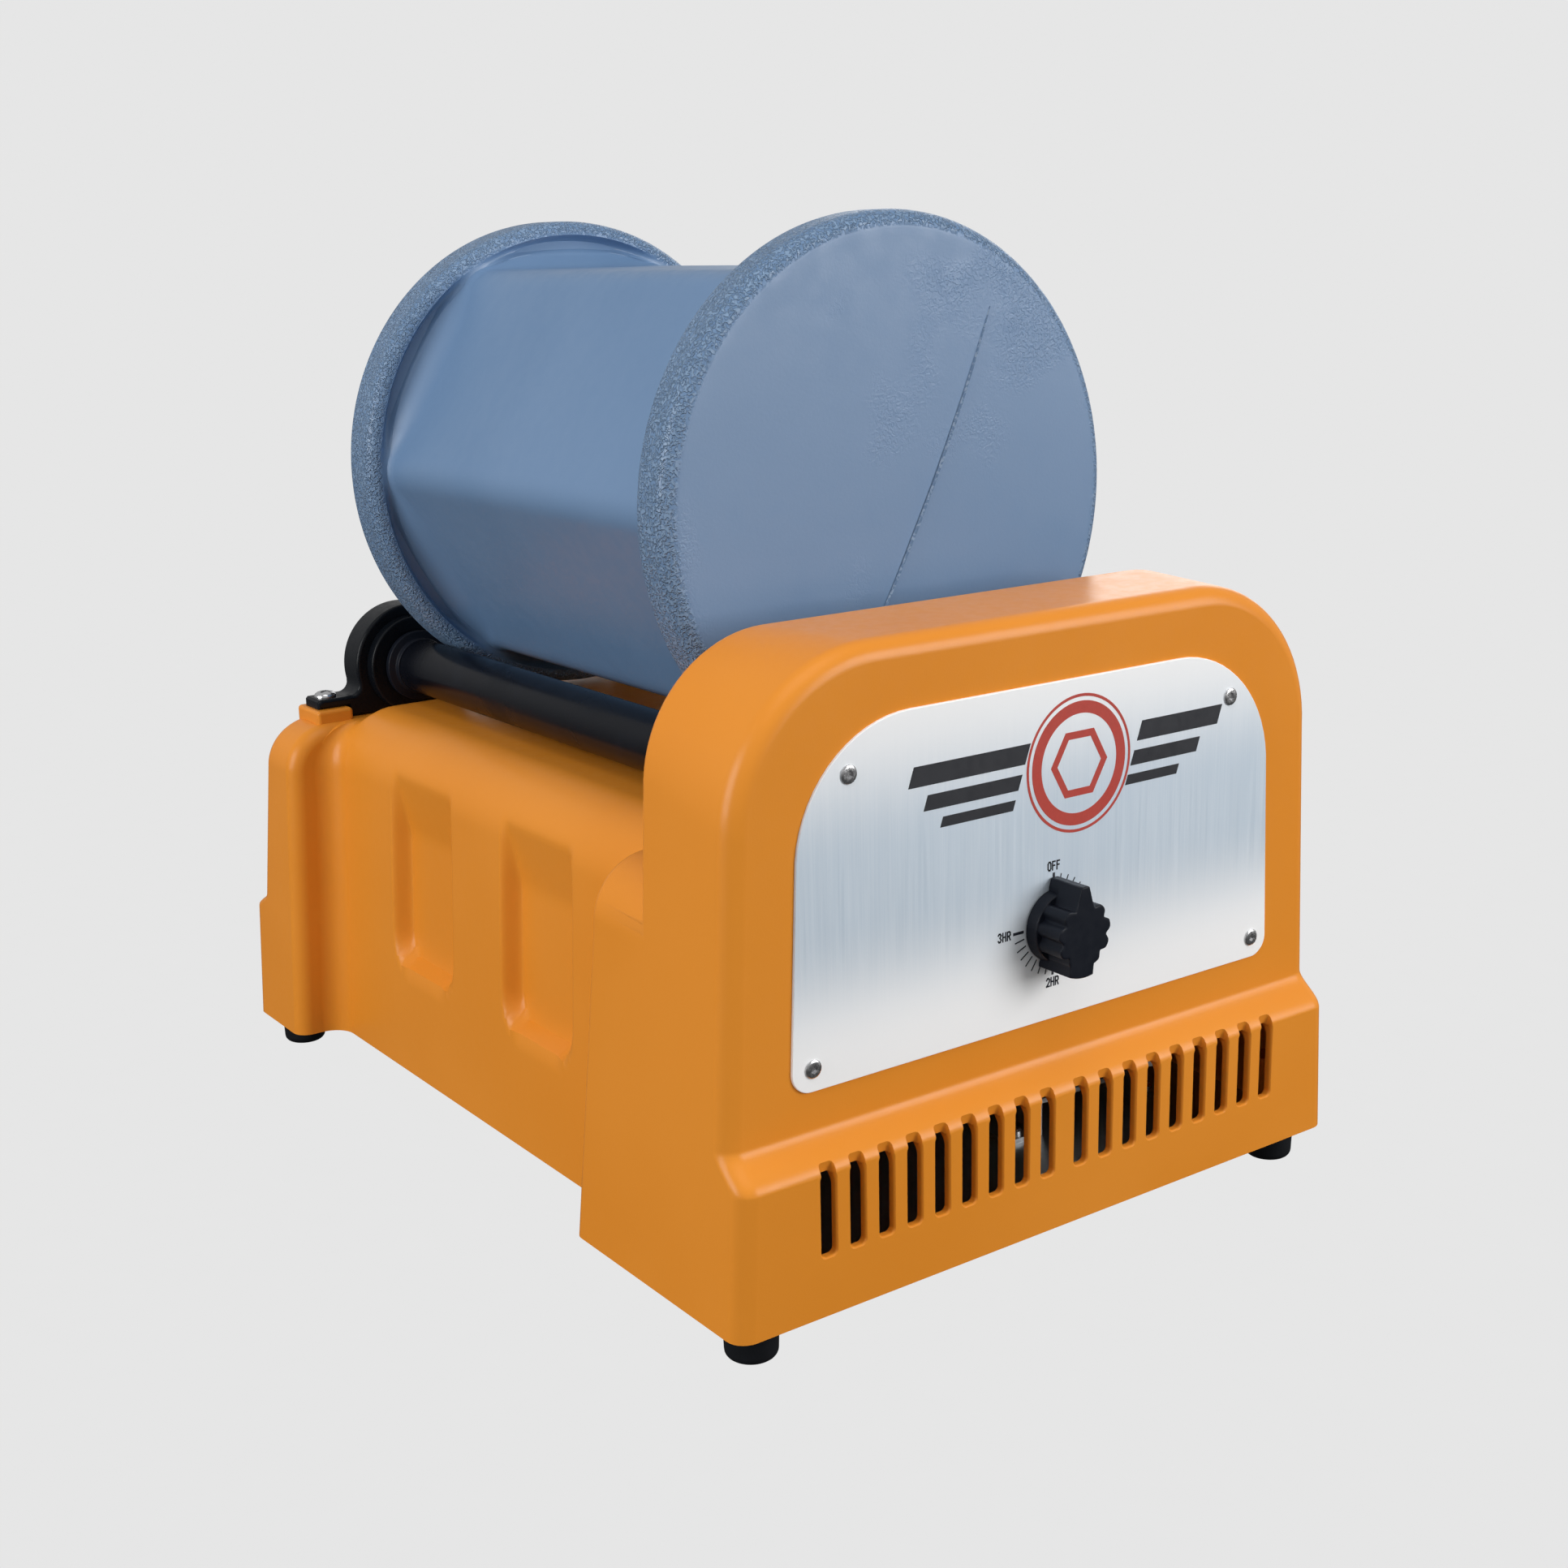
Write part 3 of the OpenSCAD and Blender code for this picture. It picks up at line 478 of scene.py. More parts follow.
def slot_ring(x, y, spread):
    """A closed upright ring with round corners: one slice of a cooling slot."""
    reach = vent_width / 2 + spread - slot_corner
    top, foot = vent_high + spread - slot_corner, vent_low - spread + slot_corner
    centres = ((reach, top), (-reach, top), (-reach, foot), (reach, foot))
    points = []
    for turned_by, (centre_x, centre_z) in enumerate(centres):
        for i in range(7):
            angle = math.pi / 2 * (turned_by + i / 6)
            points.append((x + centre_x + slot_corner * math.cos(angle), y,
                           centre_z + slot_corner * math.sin(angle)))
    return points


def vent_tool(x):
    """The shape of one cooling slot. Its mouth is eased, and a scoop runs from it into the step above."""
    mouth = [(-0.6, 1.1), (0.05, 0.5), (0.35, 0.18), (0.9, 0)]
    rings = [slot_ring(x, front + y * mm, spread * mm) for y, spread in mouth]
    slot = solid(lofted(rings + [slot_ring(x, front + plinth_step - 0.6 * mm, 0)]))
    reach, turn_in, step = vent_width / 2, 1.4 * mm, 0.45 * mm
    rings = []
    for y, z in ((3.1, -6.5), (3.2, -4.3), (3.0, -2.6), (2.6, -0.8), (2.1, 0.9), (1.4, 2.6)):
        floor_y, z = front + y * mm, plinth_top + z * mm
        right = [(reach, front - 6 * mm), (reach, floor_y - turn_in), (reach - step, floor_y - step),
                 (reach - turn_in, floor_y)]
        section = right + [(-across, y) for across, y in reversed(right)]
        rings.append([(x + across, y, z) for across, y in section])
    return combine(slot, "UNION", solid(lofted(rings)))


def orange_shell():
    finish = Finish("orange_moulded_plastic")
    patches = finish.noise(9, 2)
    colour = finish.blend(finish.ramp(patches, 0.3, 0.7), (0.77, 0.265, 0.024, 1), (0.80, 0.283, 0.030, 1))
    skin = finish.bump(finish.noise(1500, 2, 0.6), 0.00006, 0.5)
    return finish.set(base_color=colour, roughness=finish.mottle(240, 0.28, 0.34),
                      normal=finish.bump(finish.noise(55, 2), 0.0004, 0.25, skin), ior=1.46,
                      specular_ior_level=0.28)


orange = orange_shell()
housing = combine(tower(0, base), "UNION", flank(0, base), lower_body(0, base), rear_block(0, base))
below = base - 4 * mm
hollow = combine(tower(wall, below), "UNION", flank(wall, below), lower_body(wall, below),
                 rear_block(wall, below))
combine(housing, "DIFFERENCE", hollow)

foot_low, foot_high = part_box("rubber_feet")
foot_radius = 10 * mm
feet_x = foot_high.x - foot_radius
feet_y = (foot_low.y + foot_radius, foot_high.y - foot_radius)
post_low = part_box("bottom_plate")[1].z
post_high = post_low + 28 * mm
web_half = 1.5 * mm
for foot_y in feet_y:
    for side in (-1, 1):
        post_x, wall_x = side * feet_x, side * (half - 2.2 * mm)
        place = Matrix.Translation((post_x, foot_y, (post_low + post_high) / 2))
        combine(housing, "UNION", cylinder(place, 6.5 * mm, post_high - post_low, 32))
        web = bevelled_box((min(post_x, wall_x), foot_y - web_half, post_low),
                           (max(post_x, wall_x), foot_y + web_half, post_high), 0.3 * mm, 1)
        combine(housing, "UNION", web)

block_low, block_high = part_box("rear_bearing_right")
block_front = block_high.y - 16 * mm
sleeve_radius = 12.6 * mm
roller_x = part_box("drive_roller_sleeve")[0].x + sleeve_radius
roller_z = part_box("drive_roller_sleeve")[0].z + sleeve_radius
pad_half, pad_reach = 9 * mm, 42.6 * mm
pad_top = low_deck_top + 5.5 * mm
for side in (-1, 1):
    for pad_x in (roller_x - pad_reach, roller_x + pad_reach):
        pad = bevelled_box((side * pad_x - pad_half, block_front - 4 * mm, low_deck_top - 12 * mm),
                           (side * pad_x + pad_half, block_high.y + 4 * mm, pad_top), 1.8 * mm, 4)
        combine(housing, "UNION", pad)
    combine(housing, "DIFFERENCE",
            rod(side * roller_x, roller_z, tower_back - 8 * mm, tower_back + 5 * mm, 5.5 * mm))

knob_low, knob_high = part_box("timer_nut")
knob_x, knob_z = (knob_low.x + knob_high.x) / 2, (knob_low.z + knob_high.z) / 2
gland_low, gland_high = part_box("cord_gland")
gland_x, gland_z = (gland_low.x + gland_high.x) / 2, (gland_low.z + gland_high.z) / 2
combine(housing, "DIFFERENCE", rod(knob_x, knob_z, front, front + 20 * mm, 5 * mm),
        rod(gland_x, gland_z, shell_high.y - 8 * mm, shell_high.y + 5 * mm, 7.8 * mm))

first_vent = vent_pitch / 2 + 2.05 * mm
for i in range(9):
    for side in (-1, 1):
        combine(housing, "DIFFERENCE", vent_tool(side * (first_vent + i * vent_pitch)))

mesh = bmesh.new()
mesh.from_mesh(housing.data)
bmesh.ops.remove_doubles(mesh, verts=mesh.verts, dist=0.02 * mm)
bmesh.ops.dissolve_degenerate(mesh, dist=0.01 * mm, edges=mesh.edges)
mesh.to_mesh(housing.data)
mesh.free()
finished(soften(housing, 38), "housing_shell", orange, "orange_shell", "base", "housing")


# ---- Drum ----
# Blow-moulded in one piece from tough blue-grey plastic: a six-sided barrel with a wide round
# flange at each end. The flanges' rims are pebbled so that the rollers grip them. A pinch-off
# line from the mould crosses the closed end, and the rear end has a mouth with a neck.

drum_axis = Vector((0, 0, (drum_low.z + drum_high.z) / 2))
drum_front, drum_back = drum_low.y, drum_high.y
drum_radius = drum_high.x
flange_width = 21.7 * mm
barrel_flat = 87 * mm
barrel_round = 14 * mm
drum_wall = 4 * mm
mouth_radius = 55 * mm
turns = 240


def barrel_radius(angle, inset=0):
    """Distance from the axis to the six-sided barrel, whose corners are round, at an angle."""
    around = abs((angle + math.pi / 6) % (math.pi / 3) - math.pi / 6)
    flat, corner = barrel_flat - inset, max(barrel_round - inset, 1 * mm)
    round_end = math.pi / 6 - math.atan2((flat - corner) * math.tan(math.pi / 6), flat)
    if around >= round_end:
        return flat / math.cos(math.pi / 6 - around)
    centre = (flat - corner) / math.cos(math.pi / 6)
    return centre * math.cos(around) + math.sqrt(max(corner ** 2 - (centre * math.sin(around)) ** 2, 0))


def drum_ring(y, radius):
    """A closed ring round the drum's axis. The radius and the place along it may vary by angle."""
    points = []
    for i in range(turns):
        angle = 2 * math.pi * i / turns
        r = radius(angle) if callable(radius) else radius
        along = y(angle) if callable(y) else y
        points.append((r * math.cos(angle), along, drum_axis.z + r * math.sin(angle)))
    return points


def dish(angle):
    """How much room there is for the dished crescent between a flat side and the rim."""
    return smooth(102 * mm - barrel_radius(angle), 3 * mm, 15 * mm)


def flange_rings(outer, inward, rim):
    """Rings from the end face round the rim to the barrel. inward is +1 for the front flange."""
    inner_rim = 6 * mm
    inner = outer + inward * flange_width
    top = drum_radius - inner_rim
    rings = []
    for edge, depth in quarter(rim, 8):
        rings.append(drum_ring(outer + inward * depth, drum_radius - edge))
    for edge, depth in quarter(inner_rim, 6):
        rings.append(drum_ring(inner - inward * edge, drum_radius - depth))
    for share in (0.12, 0.25, 0.38, 0.5, 0.62, 0.74):
        sink = 5.5 * mm * math.sin(math.pi * min(share / 0.8, 1)) ** 0.8
        rings.append(drum_ring(
            lambda angle: inner - inward * sink * dish(angle),
            lambda angle: top + (barrel_radius(angle) + 5 * mm * dish(angle) - top) * share))
    for lift, gap in ((-1.5, 6.5), (0.2, 4.9), (2.2, 3.5), (4.4, 2.2), (6.6, 1.2), (8.8, 0.5), (11, 0.12),
                      (13.5, 0)):
        rings.append(drum_ring(lambda angle: inner + inward * lift * mm * (0.4 + 0.6 * dish(angle)),
                               lambda angle: barrel_radius(angle) + gap * mm * (0.25 + 0.75 * dish(angle))))
    return rings


def drum_rings():
    """Rings from the closed end to the mouth along the outside, then back along the inside."""
    face, rim = drum_radius - 7 * mm, drum_radius - drum_wall

    def inside(angle):
        return barrel_radius(angle, drum_wall)

    crowns = ((0.02, 0.5), (0.2, 0.48), (0.45, 0.4), (0.7, 0.25), (0.9, 0.1), (0.97, 0.04))
    rings = [drum_ring(drum_front + crown * mm, share * face) for share, crown in crowns]
    rings += flange_rings(drum_front, 1, 7 * mm) + [drum_ring(drum_back - 131.1 * mm, barrel_radius)]
    rings += reversed(flange_rings(drum_back, -1, 3 * mm))
    dips = ((1.02, 0.02), (0.97, 0.04), (0.85, 0.1), (0.7, 0.2))
    rings += [drum_ring(drum_back - dip * mm, share * face) for share, dip in dips]
    mouth = ((0.3, 1.2), (0.6, 0.3), (1.2, 0), (14, 0), (13.95, 4), (4, 4))
    rings += [drum_ring(drum_back - deep * mm, mouth_radius + out * mm) for deep, out in mouth]
    rear = ((3.95, 4), (6, 1), (9, 0), (14.7, 0))
    rings += [drum_ring(drum_back - deep * mm, rim - gap * mm) for deep, gap in rear]
    rings += [drum_ring(drum_back - flange_width - 2 * mm, inside),
              drum_ring(drum_front + flange_width + 2 * mm, inside)]
    closed_end = ((14.7, 0), (9, 0), (6, 1), (4, 4))
    rings += [drum_ring(drum_front + deep * mm, rim - gap * mm) for deep, gap in closed_end]
    return rings + [drum_ring(drum_front + drum_wall + 0.3 * mm, 2 * mm)]


def drum_plastic():
    finish = Finish("blue_grey_moulded_plastic")
    x, y, z = finish.axis("X"), finish.axis("Y"), finish.axis("Z") - drum_axis.z
    out = finish.add("ShaderNodeMath", {"operation": "SQRT"}, {0: x * x + z * z})
    flange_near = finish.ramp(out, drum_radius - 6.5 * mm, drum_radius - 3.5 * mm)
    worms = finish.noise(820, 1.5, 0.5, 0.6)
    ridges = finish.ramp(worms, 0.42, 0.58)
    patch = finish.ramp(finish.noise(14, 2), 0.5, 0.68)
    end_face = finish.ramp(y, drum_front + 0.3 * mm, drum_front + 1.5 * mm, 1, 0)
    light_patch = patch * end_face * 0.16
    rough_skin = flange_near + light_patch * (1 - flange_near)
    cloud = finish.noise(7, 2)
    deep = finish.blend(finish.ramp(cloud, 0.3, 0.7), (0.128, 0.226, 0.385, 1), (0.150, 0.250, 0.412, 1))
    # The pebble ridges on the rims, and on patches of the closed end, are coloured paler than the rest of
    # the drum.
    pale_pebble_ridges = finish.blend(rough_skin * ridges * 0.3, deep, (0.32, 0.44, 0.58, 1))
    skin = finish.bump(finish.noise(900, 2), 0.00008, 0.4)
    return finish.set(base_color=pale_pebble_ridges, roughness=finish.mottle(120, 0.33, 0.43),
                      normal=finish.bump(ridges * rough_skin, 0.0008, 1.0, skin), ior=1.49)


drum = solid(lofted(drum_rings()))
soften(drum, 50)
blue_grey = drum_plastic()
finished(drum, "drum_shell", blue_grey, "drum_shell", "drum", "drum_barrel")


# ---- Pinch-off line ----
# Where the mould closed on the tube of soft plastic, it left a thin raised line across the
# drum's closed end. It was trimmed by hand, so it is paler and uneven.

def seam_plastic():
    finish = Finish("trimmed_plastic_seam")
    scratch = finish.ramp(finish.noise(700, 3), 0.45, 0.6)
    return finish.set(base_color=finish.blend(scratch, (0.13, 0.22, 0.36, 1), (0.28, 0.38, 0.52, 1)),
                      roughness=finish.ramp(scratch, 0, 1, 0.55, 0.4),
                      normal=finish.bump(finish.noise(900, 3), 0.0004, 0.6))


def pinch_line():
    top, bend, foot = Vector((45, 71)), Vector((21, 5)), Vector((-22, -64))
    steps = 60
    rings = []
    for i in range(steps + 1):
        t = i / steps
        centre = top * (1 - t) ** 2 + bend * 2 * t * (1 - t) + foot * t ** 2
        width = 0.2 + 0.5 * math.sin(math.pi * t) ** 0.6 + 0.08 * math.sin(23 * t) * math.sin(math.pi * t)
        across = Vector((0.86, -0.5)) * width
        low, high = centre - across, centre + across
        height = 0.2 + 0.75 * math.sin(math.pi * t) ** 0.5
        rings.append([(low.x * mm, drum_front + 0.2 * mm, drum_axis.z + low.y * mm),
                      (centre.x * mm, drum_front - height * mm, drum_axis.z + centre.y * mm),
                      (high.x * mm, drum_front + 0.2 * mm, drum_axis.z + high.y * mm)])
    return solid(lofted(rings))


seam = pinch_line()
soften(seam, 60)
seam.name = "pinch_off_line"
seam.data.materials.append(seam_plastic())
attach(seam, "drum")


# ---- Face plate ----
# A 1 mm aluminium plate, brushed upright and clear lacquered, held by four screws. The dial's
# marks and a plain badge of a drum's end are printed on it.

# Its colour carries a painted reflection: near white towards its top and bottom edges, blue-grey between.
plate_low, plate_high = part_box("face_plate")
plate_face = plate_low.y


def brushed_plate():
    finish = Finish("brushed_aluminium")
    stretched = finish.add("ShaderNodeMapping", None, {"Vector": finish.place, "Scale": (1, 1, 0.012)})
    strokes = finish.noise(1400, 4, 0.7, 0, stretched)
    wide = finish.noise(120, 2, 0.5, 0, stretched)
    # Painted reflection: the colour goes near white and less metallic towards the plate's bottom and top,
    # and blue-grey in the band between, as the room and floor would reflect in it. The brushed strokes on
    # top of it are the metal's own grain.
    height = finish.axis("Z")
    painted_low_reflection = finish.ramp(height, plate_low.z + 10 * mm, plate_low.z + 60 * mm, 1, 0)
    painted_top_reflection = finish.ramp(height, plate_high.z - 50 * mm, plate_high.z + 5 * mm)
    pale = painted_low_reflection + painted_top_reflection * (1 - painted_low_reflection)
    painted_reflection_tint = finish.blend(pale, (0.60, 0.70, 0.80, 1), (0.99, 0.99, 0.99, 1))
    brushing_and_reflection_colour = finish.blend(finish.ramp(strokes + wide * 0.25, 0.35, 0.95) * 0.22, painted_reflection_tint, (0.97, 0.98, 0.99, 1))
    return finish.set(base_color=brushing_and_reflection_colour, metallic=finish.ramp(pale, 0, 1, 0.25, 0),
                      roughness=finish.ramp(strokes, 0.3, 0.7, 0.38, 0.5),
                      normal=finish.bump(strokes, 0.00003, 0.35), coat_weight=0.2, coat_roughness=0.3)


low_round, high_round = 8 * mm, 50 * mm
plate_lean = 0.04


def plate_outline(y, inset):
    """The plate's edge: small round corners below, large ones above, and sides that lean in."""
    half_top = plate_high.x - plate_lean * (plate_high.z - high_round - plate_low.z)
    corners = ((plate_high.x - low_round, plate_low.z + low_round, low_round, -90),
               (half_top - high_round, plate_high.z - high_round, high_round, 0))
    points = []
    for centre_x, centre_z, radius, start in corners:
        for i in range(17):
            angle = math.radians(start + 90 * i / 16)
            points.append((centre_x + (radius - inset) * math.cos(angle),
                           centre_z + (radius - inset) * math.sin(angle)))
    return [(x, y, z) for x, z in points] + [(-x, y, z) for x, z in reversed(points)]


plate = solid(lofted([plate_outline(plate_face, 0.5 * mm), plate_outline(plate_face + 0.15 * mm, 0.15 * mm),
                      plate_outline(plate_face + 0.5 * mm, 0), plate_outline(plate_high.y, 0)]))
combine(plate, "DIFFERENCE", rod(knob_x, knob_z, plate_face - 2 * mm, plate_face + 4 * mm, 5 * mm))
soften(plate, 30)
brushed = brushed_plate()
finished(plate, "brushed_face_plate", brushed, "face_metal", "base", "face_plate")


def print_ink(name, colour):
    finish = Finish(name)
    return finish.set(base_color=finish.blend(finish.noise(500, 2), colour, finish.paler(colour, 1.25)),
                      roughness=finish.mottle(300, 0.4, 0.5, 2))


ink_height = 0.06 * mm
dial_radius = 22.5 * mm


def bar(mesh, start, end, width, over=0):
    """A printed line between two points given as (x, z), run over at both ends."""
    run = Vector(end) - Vector(start)
    turn = Matrix.Rotation(-math.atan2(run.y, run.x), 4, "Y")
    centre = (Vector(start) + Vector(end)) / 2
    place = Matrix.Translation((centre.x, plate_face - ink_height / 2, centre.y))
    size = Matrix.Diagonal((run.length + 2 * over, ink_height, width, 1))
    bmesh.ops.create_cube(mesh, size=1, matrix=place @ turn @ size)


def turned(x, z, profile, steps=96):
    """A shape turned round a line along Y. The profile is a closed loop of (radius, y)."""
    points = [(x + radius, y, z) for radius, y in profile]
    return solid(spun(points, (x, 0, z), (0, 1, 0), steps, closed=True))


def hoop(x, z, radius, width, sides=72):
    """A printed line round a centre: a circle, or a polygon where it has few sides."""
    inner, outer, top = radius - width / 2, radius + width / 2, plate_face - ink_height
    return turned(x, z, [(inner, plate_face), (outer, plate_face), (outer, top), (inner, top)], sides)


letter_lines = {
    "O": [[(0, 0.2), (0, 0.8), (0.3, 1), (0.7, 1), (1, 0.8), (1, 0.2), (0.7, 0), (0.3, 0), (0, 0.2)]],
    "F": [[(0, 0), (0, 1), (0.9, 1)], [(0, 0.52), (0.75, 0.52)]],
    "H": [[(0, 0), (0, 1)], [(1, 0), (1, 1)], [(0, 0.5), (1, 0.5)]],
    "R": [[(0, 0), (0, 1), (0.7, 1), (1, 0.85), (1, 0.62), (0.7, 0.47), (0, 0.47)], [(0.55, 0.47), (1, 0)]],
    "1": [[(0.5, 0), (0.5, 1), (0.15, 0.75)]],
    "2": [[(0, 0.8), (0.3, 1), (0.7, 1), (1, 0.8), (0.95, 0.55), (0, 0), (1, 0)]],
    "3": [[(0, 0.85), (0.3, 1), (0.7, 1), (1, 0.8), (0.6, 0.53), (1, 0.25), (0.7, 0), (0.3, 0), (0, 0.15)]],
}
letter_width, letter_height, letter_gap = 1.35 * mm, 3.1 * mm, 0.85 * mm


def dial_word(mesh, word, x, z):
    """Condensed capitals in even strokes, centred on a point."""
    left = x - (len(word) * (letter_width + letter_gap) - letter_gap) / 2
    for letter in word:
        for line in letter_lines[letter]:
            points = [(left + across * letter_width, z + (up - 0.5) * letter_height) for across, up in line]
            for start, end in zip(points, points[1:]):
                bar(mesh, start, end, 0.62 * mm, 0.3 * mm)
        left += letter_width + letter_gap


mesh = bmesh.new()
for label, bearing, shift in (("OFF", 0, 0), ("1HR", 90, 0), ("2HR", 180, 0), ("3HR", 270, 1.6 * mm)):
    bearing = math.radians(bearing)
    dial_word(mesh, label, knob_x + (dial_radius + shift) * math.sin(bearing),
              knob_z + dial_radius * math.cos(bearing))
centre = Vector((knob_x, knob_z))
for tick in range(25):
    bearing = math.radians(270 * tick / 24)
    direction = Vector((math.sin(bearing), math.cos(bearing)))
    outer, width = (19.8, 1.1) if tick % 8 == 0 else (19.2, 0.5)
    bar(mesh, centre + direction * 14.6 * mm, centre + direction * outer * mm, width * mm)
dial = solid(mesh)
finished(dial, "dial_marks", print_ink("black_print", (0.012, 0.014, 0.022, 1)), "black_plastic", "base")

badge_x, badge_z = knob_x + 12 * mm, plate_high.z - 32 * mm
badge = hoop(badge_x, badge_z, 21 * mm, 4.6 * mm)
for ring_radius, ring_width, sides in ((25.4 * mm, 1.1 * mm, 72), (12.5 * mm, 3.2 * mm, 6)):
    combine(badge, "UNION", hoop(badge_x, badge_z, ring_radius, ring_width, sides))
finished(badge, "badge_rings", print_ink("red_print", (0.42, 0.045, 0.030, 1)), "black_plastic", "base")

mesh = bmesh.new()
for rise, reach, height in ((7.5, 54, 7.4), (-2.5, 44, 5.6), (-10.5, 34, 3.8)):
    for side in (-1, 1):
        long = reach if side < 0 else reach * 0.8
        bar(mesh, (badge_x + side * 28 * mm, badge_z + rise * mm),
            (badge_x + side * (28 + long) * mm, badge_z + rise * mm), height * mm)
for corner in mesh.verts:
    corner.co.x += 0.35 * (corner.co.z - badge_z)
stripes = solid(mesh)
dark_print = print_ink("dark_print", (0.014, 0.015, 0.02, 1))
finished(stripes, "badge_stripes", dark_print, "black_plastic", "base")


# ---- Screws ----
# Bright plated screws with pan heads. The panel's have a hex recess, and the bearing blocks'
# have a cross recess.

def plated_steel():
    finish = Finish("bright_plated_steel")
    haze = finish.noise(900, 3)
    return finish.set(base_color=finish.blend(haze, (0.62, 0.62, 0.64, 1), (0.80, 0.80, 0.80, 1)),
                      metallic=1.0, roughness=finish.ramp(haze, 0.3, 0.7, 0.16, 0.3),
                      normal=finish.bump(haze, 0.00003, 0.3))


def pan_head(radius, height, fullness, tools):
    """A pan head on the origin, its top towards +Z. The tools cut the driver's recess in it."""
    profile = [(0.001 * mm, height), (radius * 0.45, height * 0.97),
               (radius * 0.72, height * (0.82 + 0.14 * fullness)),
               (radius * 0.9, height * (0.58 + 0.24 * fullness)),
               (radius, height * (0.28 + 0.2 * fullness)), (radius, 0), (0.001 * mm, 0)]
    mesh = spun([(r, 0, z) for r, z in profile], (0, 0, 0), upright, 32)
    bmesh.ops.remove_doubles(mesh, verts=mesh.verts, dist=0.003 * mm)
    bmesh.ops.recalc_face_normals(mesh, faces=mesh.faces)
    return combine(solid(mesh), "DIFFERENCE", *tools)


def cross_arm(height, turn_by):
    mesh = bmesh.new()
    size = Matrix.Diagonal((6.2 * mm, 1.612 * mm, 2.8 * mm, 1))
    place = Matrix.Translation((0, 0, height)) @ Matrix.Rotation(turn_by, 4, "Z")
    bmesh.ops.create_cube(mesh, size=1, matrix=place @ size)
    return solid(mesh)


def repeat(shape, places):
    """One mesh with a copy of a shape at each place, given as matrices."""
    mesh = bmesh.new()
    for place in places:
        copy = shape.data.copy()
        copy.transform(place)
        mesh.from_mesh(copy)
        bpy.data.meshes.remove(copy)
    bpy.data.objects.remove(shape)
    return solid(mesh)


plated = plated_steel()
to_front = Matrix.Rotation(math.pi / 2, 4, "X")
plate_screws = [(side * x * mm, base + z * mm) for x, z in ((92.9, 190), (109.7, 88.7)) for side in (-1, 1)]
panel_head = 0.9 * mm
hex_recess = cylinder(Matrix.Translation((0, 0, panel_head)), 1.6 * mm, 1.7 * mm, 6)
panel_screws = repeat(pan_head(3.4 * mm, panel_head, 1, [hex_recess]),
                      [Matrix.Translation((x, plate_face, z)) @ to_front for x, z in plate_screws])
finished(soften(panel_screws, 40), "panel_screw_heads", plated, "zinc_screws", "base",
         "face_plate_screws")

screw_x, screw_y = roller_x + 42.2 * mm, (block_front + block_high.y) / 2
foot_top = pad_top + 4.5 * mm
block_places = [Matrix.Translation((side * x, screw_y, foot_top))
                @ Matrix.Rotation(0.5 * side + x * 9, 4, "Z")
                for side in (-1, 1) for x in (screw_x, screw_x - 84.4 * mm)]
block_head = 2.6 * mm
cross_recess = [cross_arm(block_head, turn_by) for turn_by in (0, math.pi / 2)]
block_screws = repeat(pan_head(5.2 * mm, block_head, 0, cross_recess), block_places)
finished(soften(block_screws, 40), "bearing_screw_heads", plated, "zinc_screws", "base",
         "rear_bearing_screws")


# ---- Timer knob ----
# Moulded in black phenolic: a round skirt, a fluted grip with a pointer fin at the top and a
# broad tail below it, pushed onto the timer's shaft.

def black_plastic(name, roughness, colour=(0.005, 0.0065, 0.011, 1)):
    finish = Finish(name)
    cloud = finish.noise(40, 3)
    return finish.set(base_color=finish.blend(cloud, colour, finish.paler(colour, 1.6)),
                      roughness=finish.mottle(350, roughness - 0.05, roughness + 0.06),
                      normal=finish.bump(finish.noise(1300, 2), 0.00003, 0.4), ior=1.45,
                      specular_ior_level=0.22)


def knob_radius(angle):
    """Distance from the knob's axis at an angle clockwise from the fin."""
    off = abs(math.remainder(angle, 2 * math.pi))
    notch = (1 + math.cos(10 * (off - math.radians(26)))) / 2
    reach = 12.9 * mm - 2.0 * mm * notch ** 2
    if off < math.radians(35):
        fin_side = 7.3 * mm / max(math.sin(off) + 0.30 * math.cos(off), 0.02)
        reach = max(reach, min(18.3 * mm / max(math.cos(off), 0.5), fin_side))
    away = abs(math.remainder(angle - math.pi + math.radians(-6), 2 * math.pi))
    if away < math.radians(50):
        tail_side = 5.9 * mm / max(math.sin(away), 0.02)
        reach = max(reach, min(16.4 * mm / max(math.cos(away * 0.4), 0.5), tail_side))
    return reach


def clock_ring(x, z, y, radius, steps):
    """A ring round a line along Y. Its radius may vary by the angle clockwise from the top."""
    points = []
    for i in range(steps):
        angle = 2 * math.pi * i / steps
        reach = radius(angle) if callable(radius) else radius
        points.append((x + reach * math.sin(angle), y, z + reach * math.cos(angle)))
    return points


def knob():
    back, front_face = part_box("timer_knob")[1].y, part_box("timer_knob")[0].y

    def ring(y, radius):
        return clock_ring(knob_x, knob_z, y, radius, 240)

    def skirt(radius):
        return lambda angle: max(radius, knob_radius(angle) if knob_radius(angle) > 14.6 * mm else 0)

    rings = [ring(back, skirt(13.9 * mm)), ring(back - 4.2 * mm, skirt(13.6 * mm)),
             ring(back - 4.9 * mm, skirt(13.1 * mm)), ring(back - 5.1 * mm, knob_radius)]
    for inset, y in ((0, 0.6), (0.06, 0.3), (0.2, 0.12), (0.55, 0.0)):
        rings.append(ring(front_face + y * mm, lambda angle: knob_radius(angle) - inset * mm))
    rings.append(ring(front_face + 0.02 * mm, lambda angle: knob_radius(angle) * 0.86))
    return combine(solid(lofted(rings)), "DIFFERENCE",
                   rod(knob_x, knob_z, back - 4 * mm, back + 2 * mm, 8.4 * mm))


satin_black = black_plastic("satin_black_plastic", 0.42)
timer_knob = knob()
finished(soften(timer_knob, 34), "timer_knob_grip", satin_black, "black_plastic", "timer_dial",
         "timer_knob")


# ---- Rollers ----
# Each roller is a steel shaft in a black rubber sleeve, with a moulded collar at its rear end
# that keeps the drum from walking off. The right one is driven by the belt.

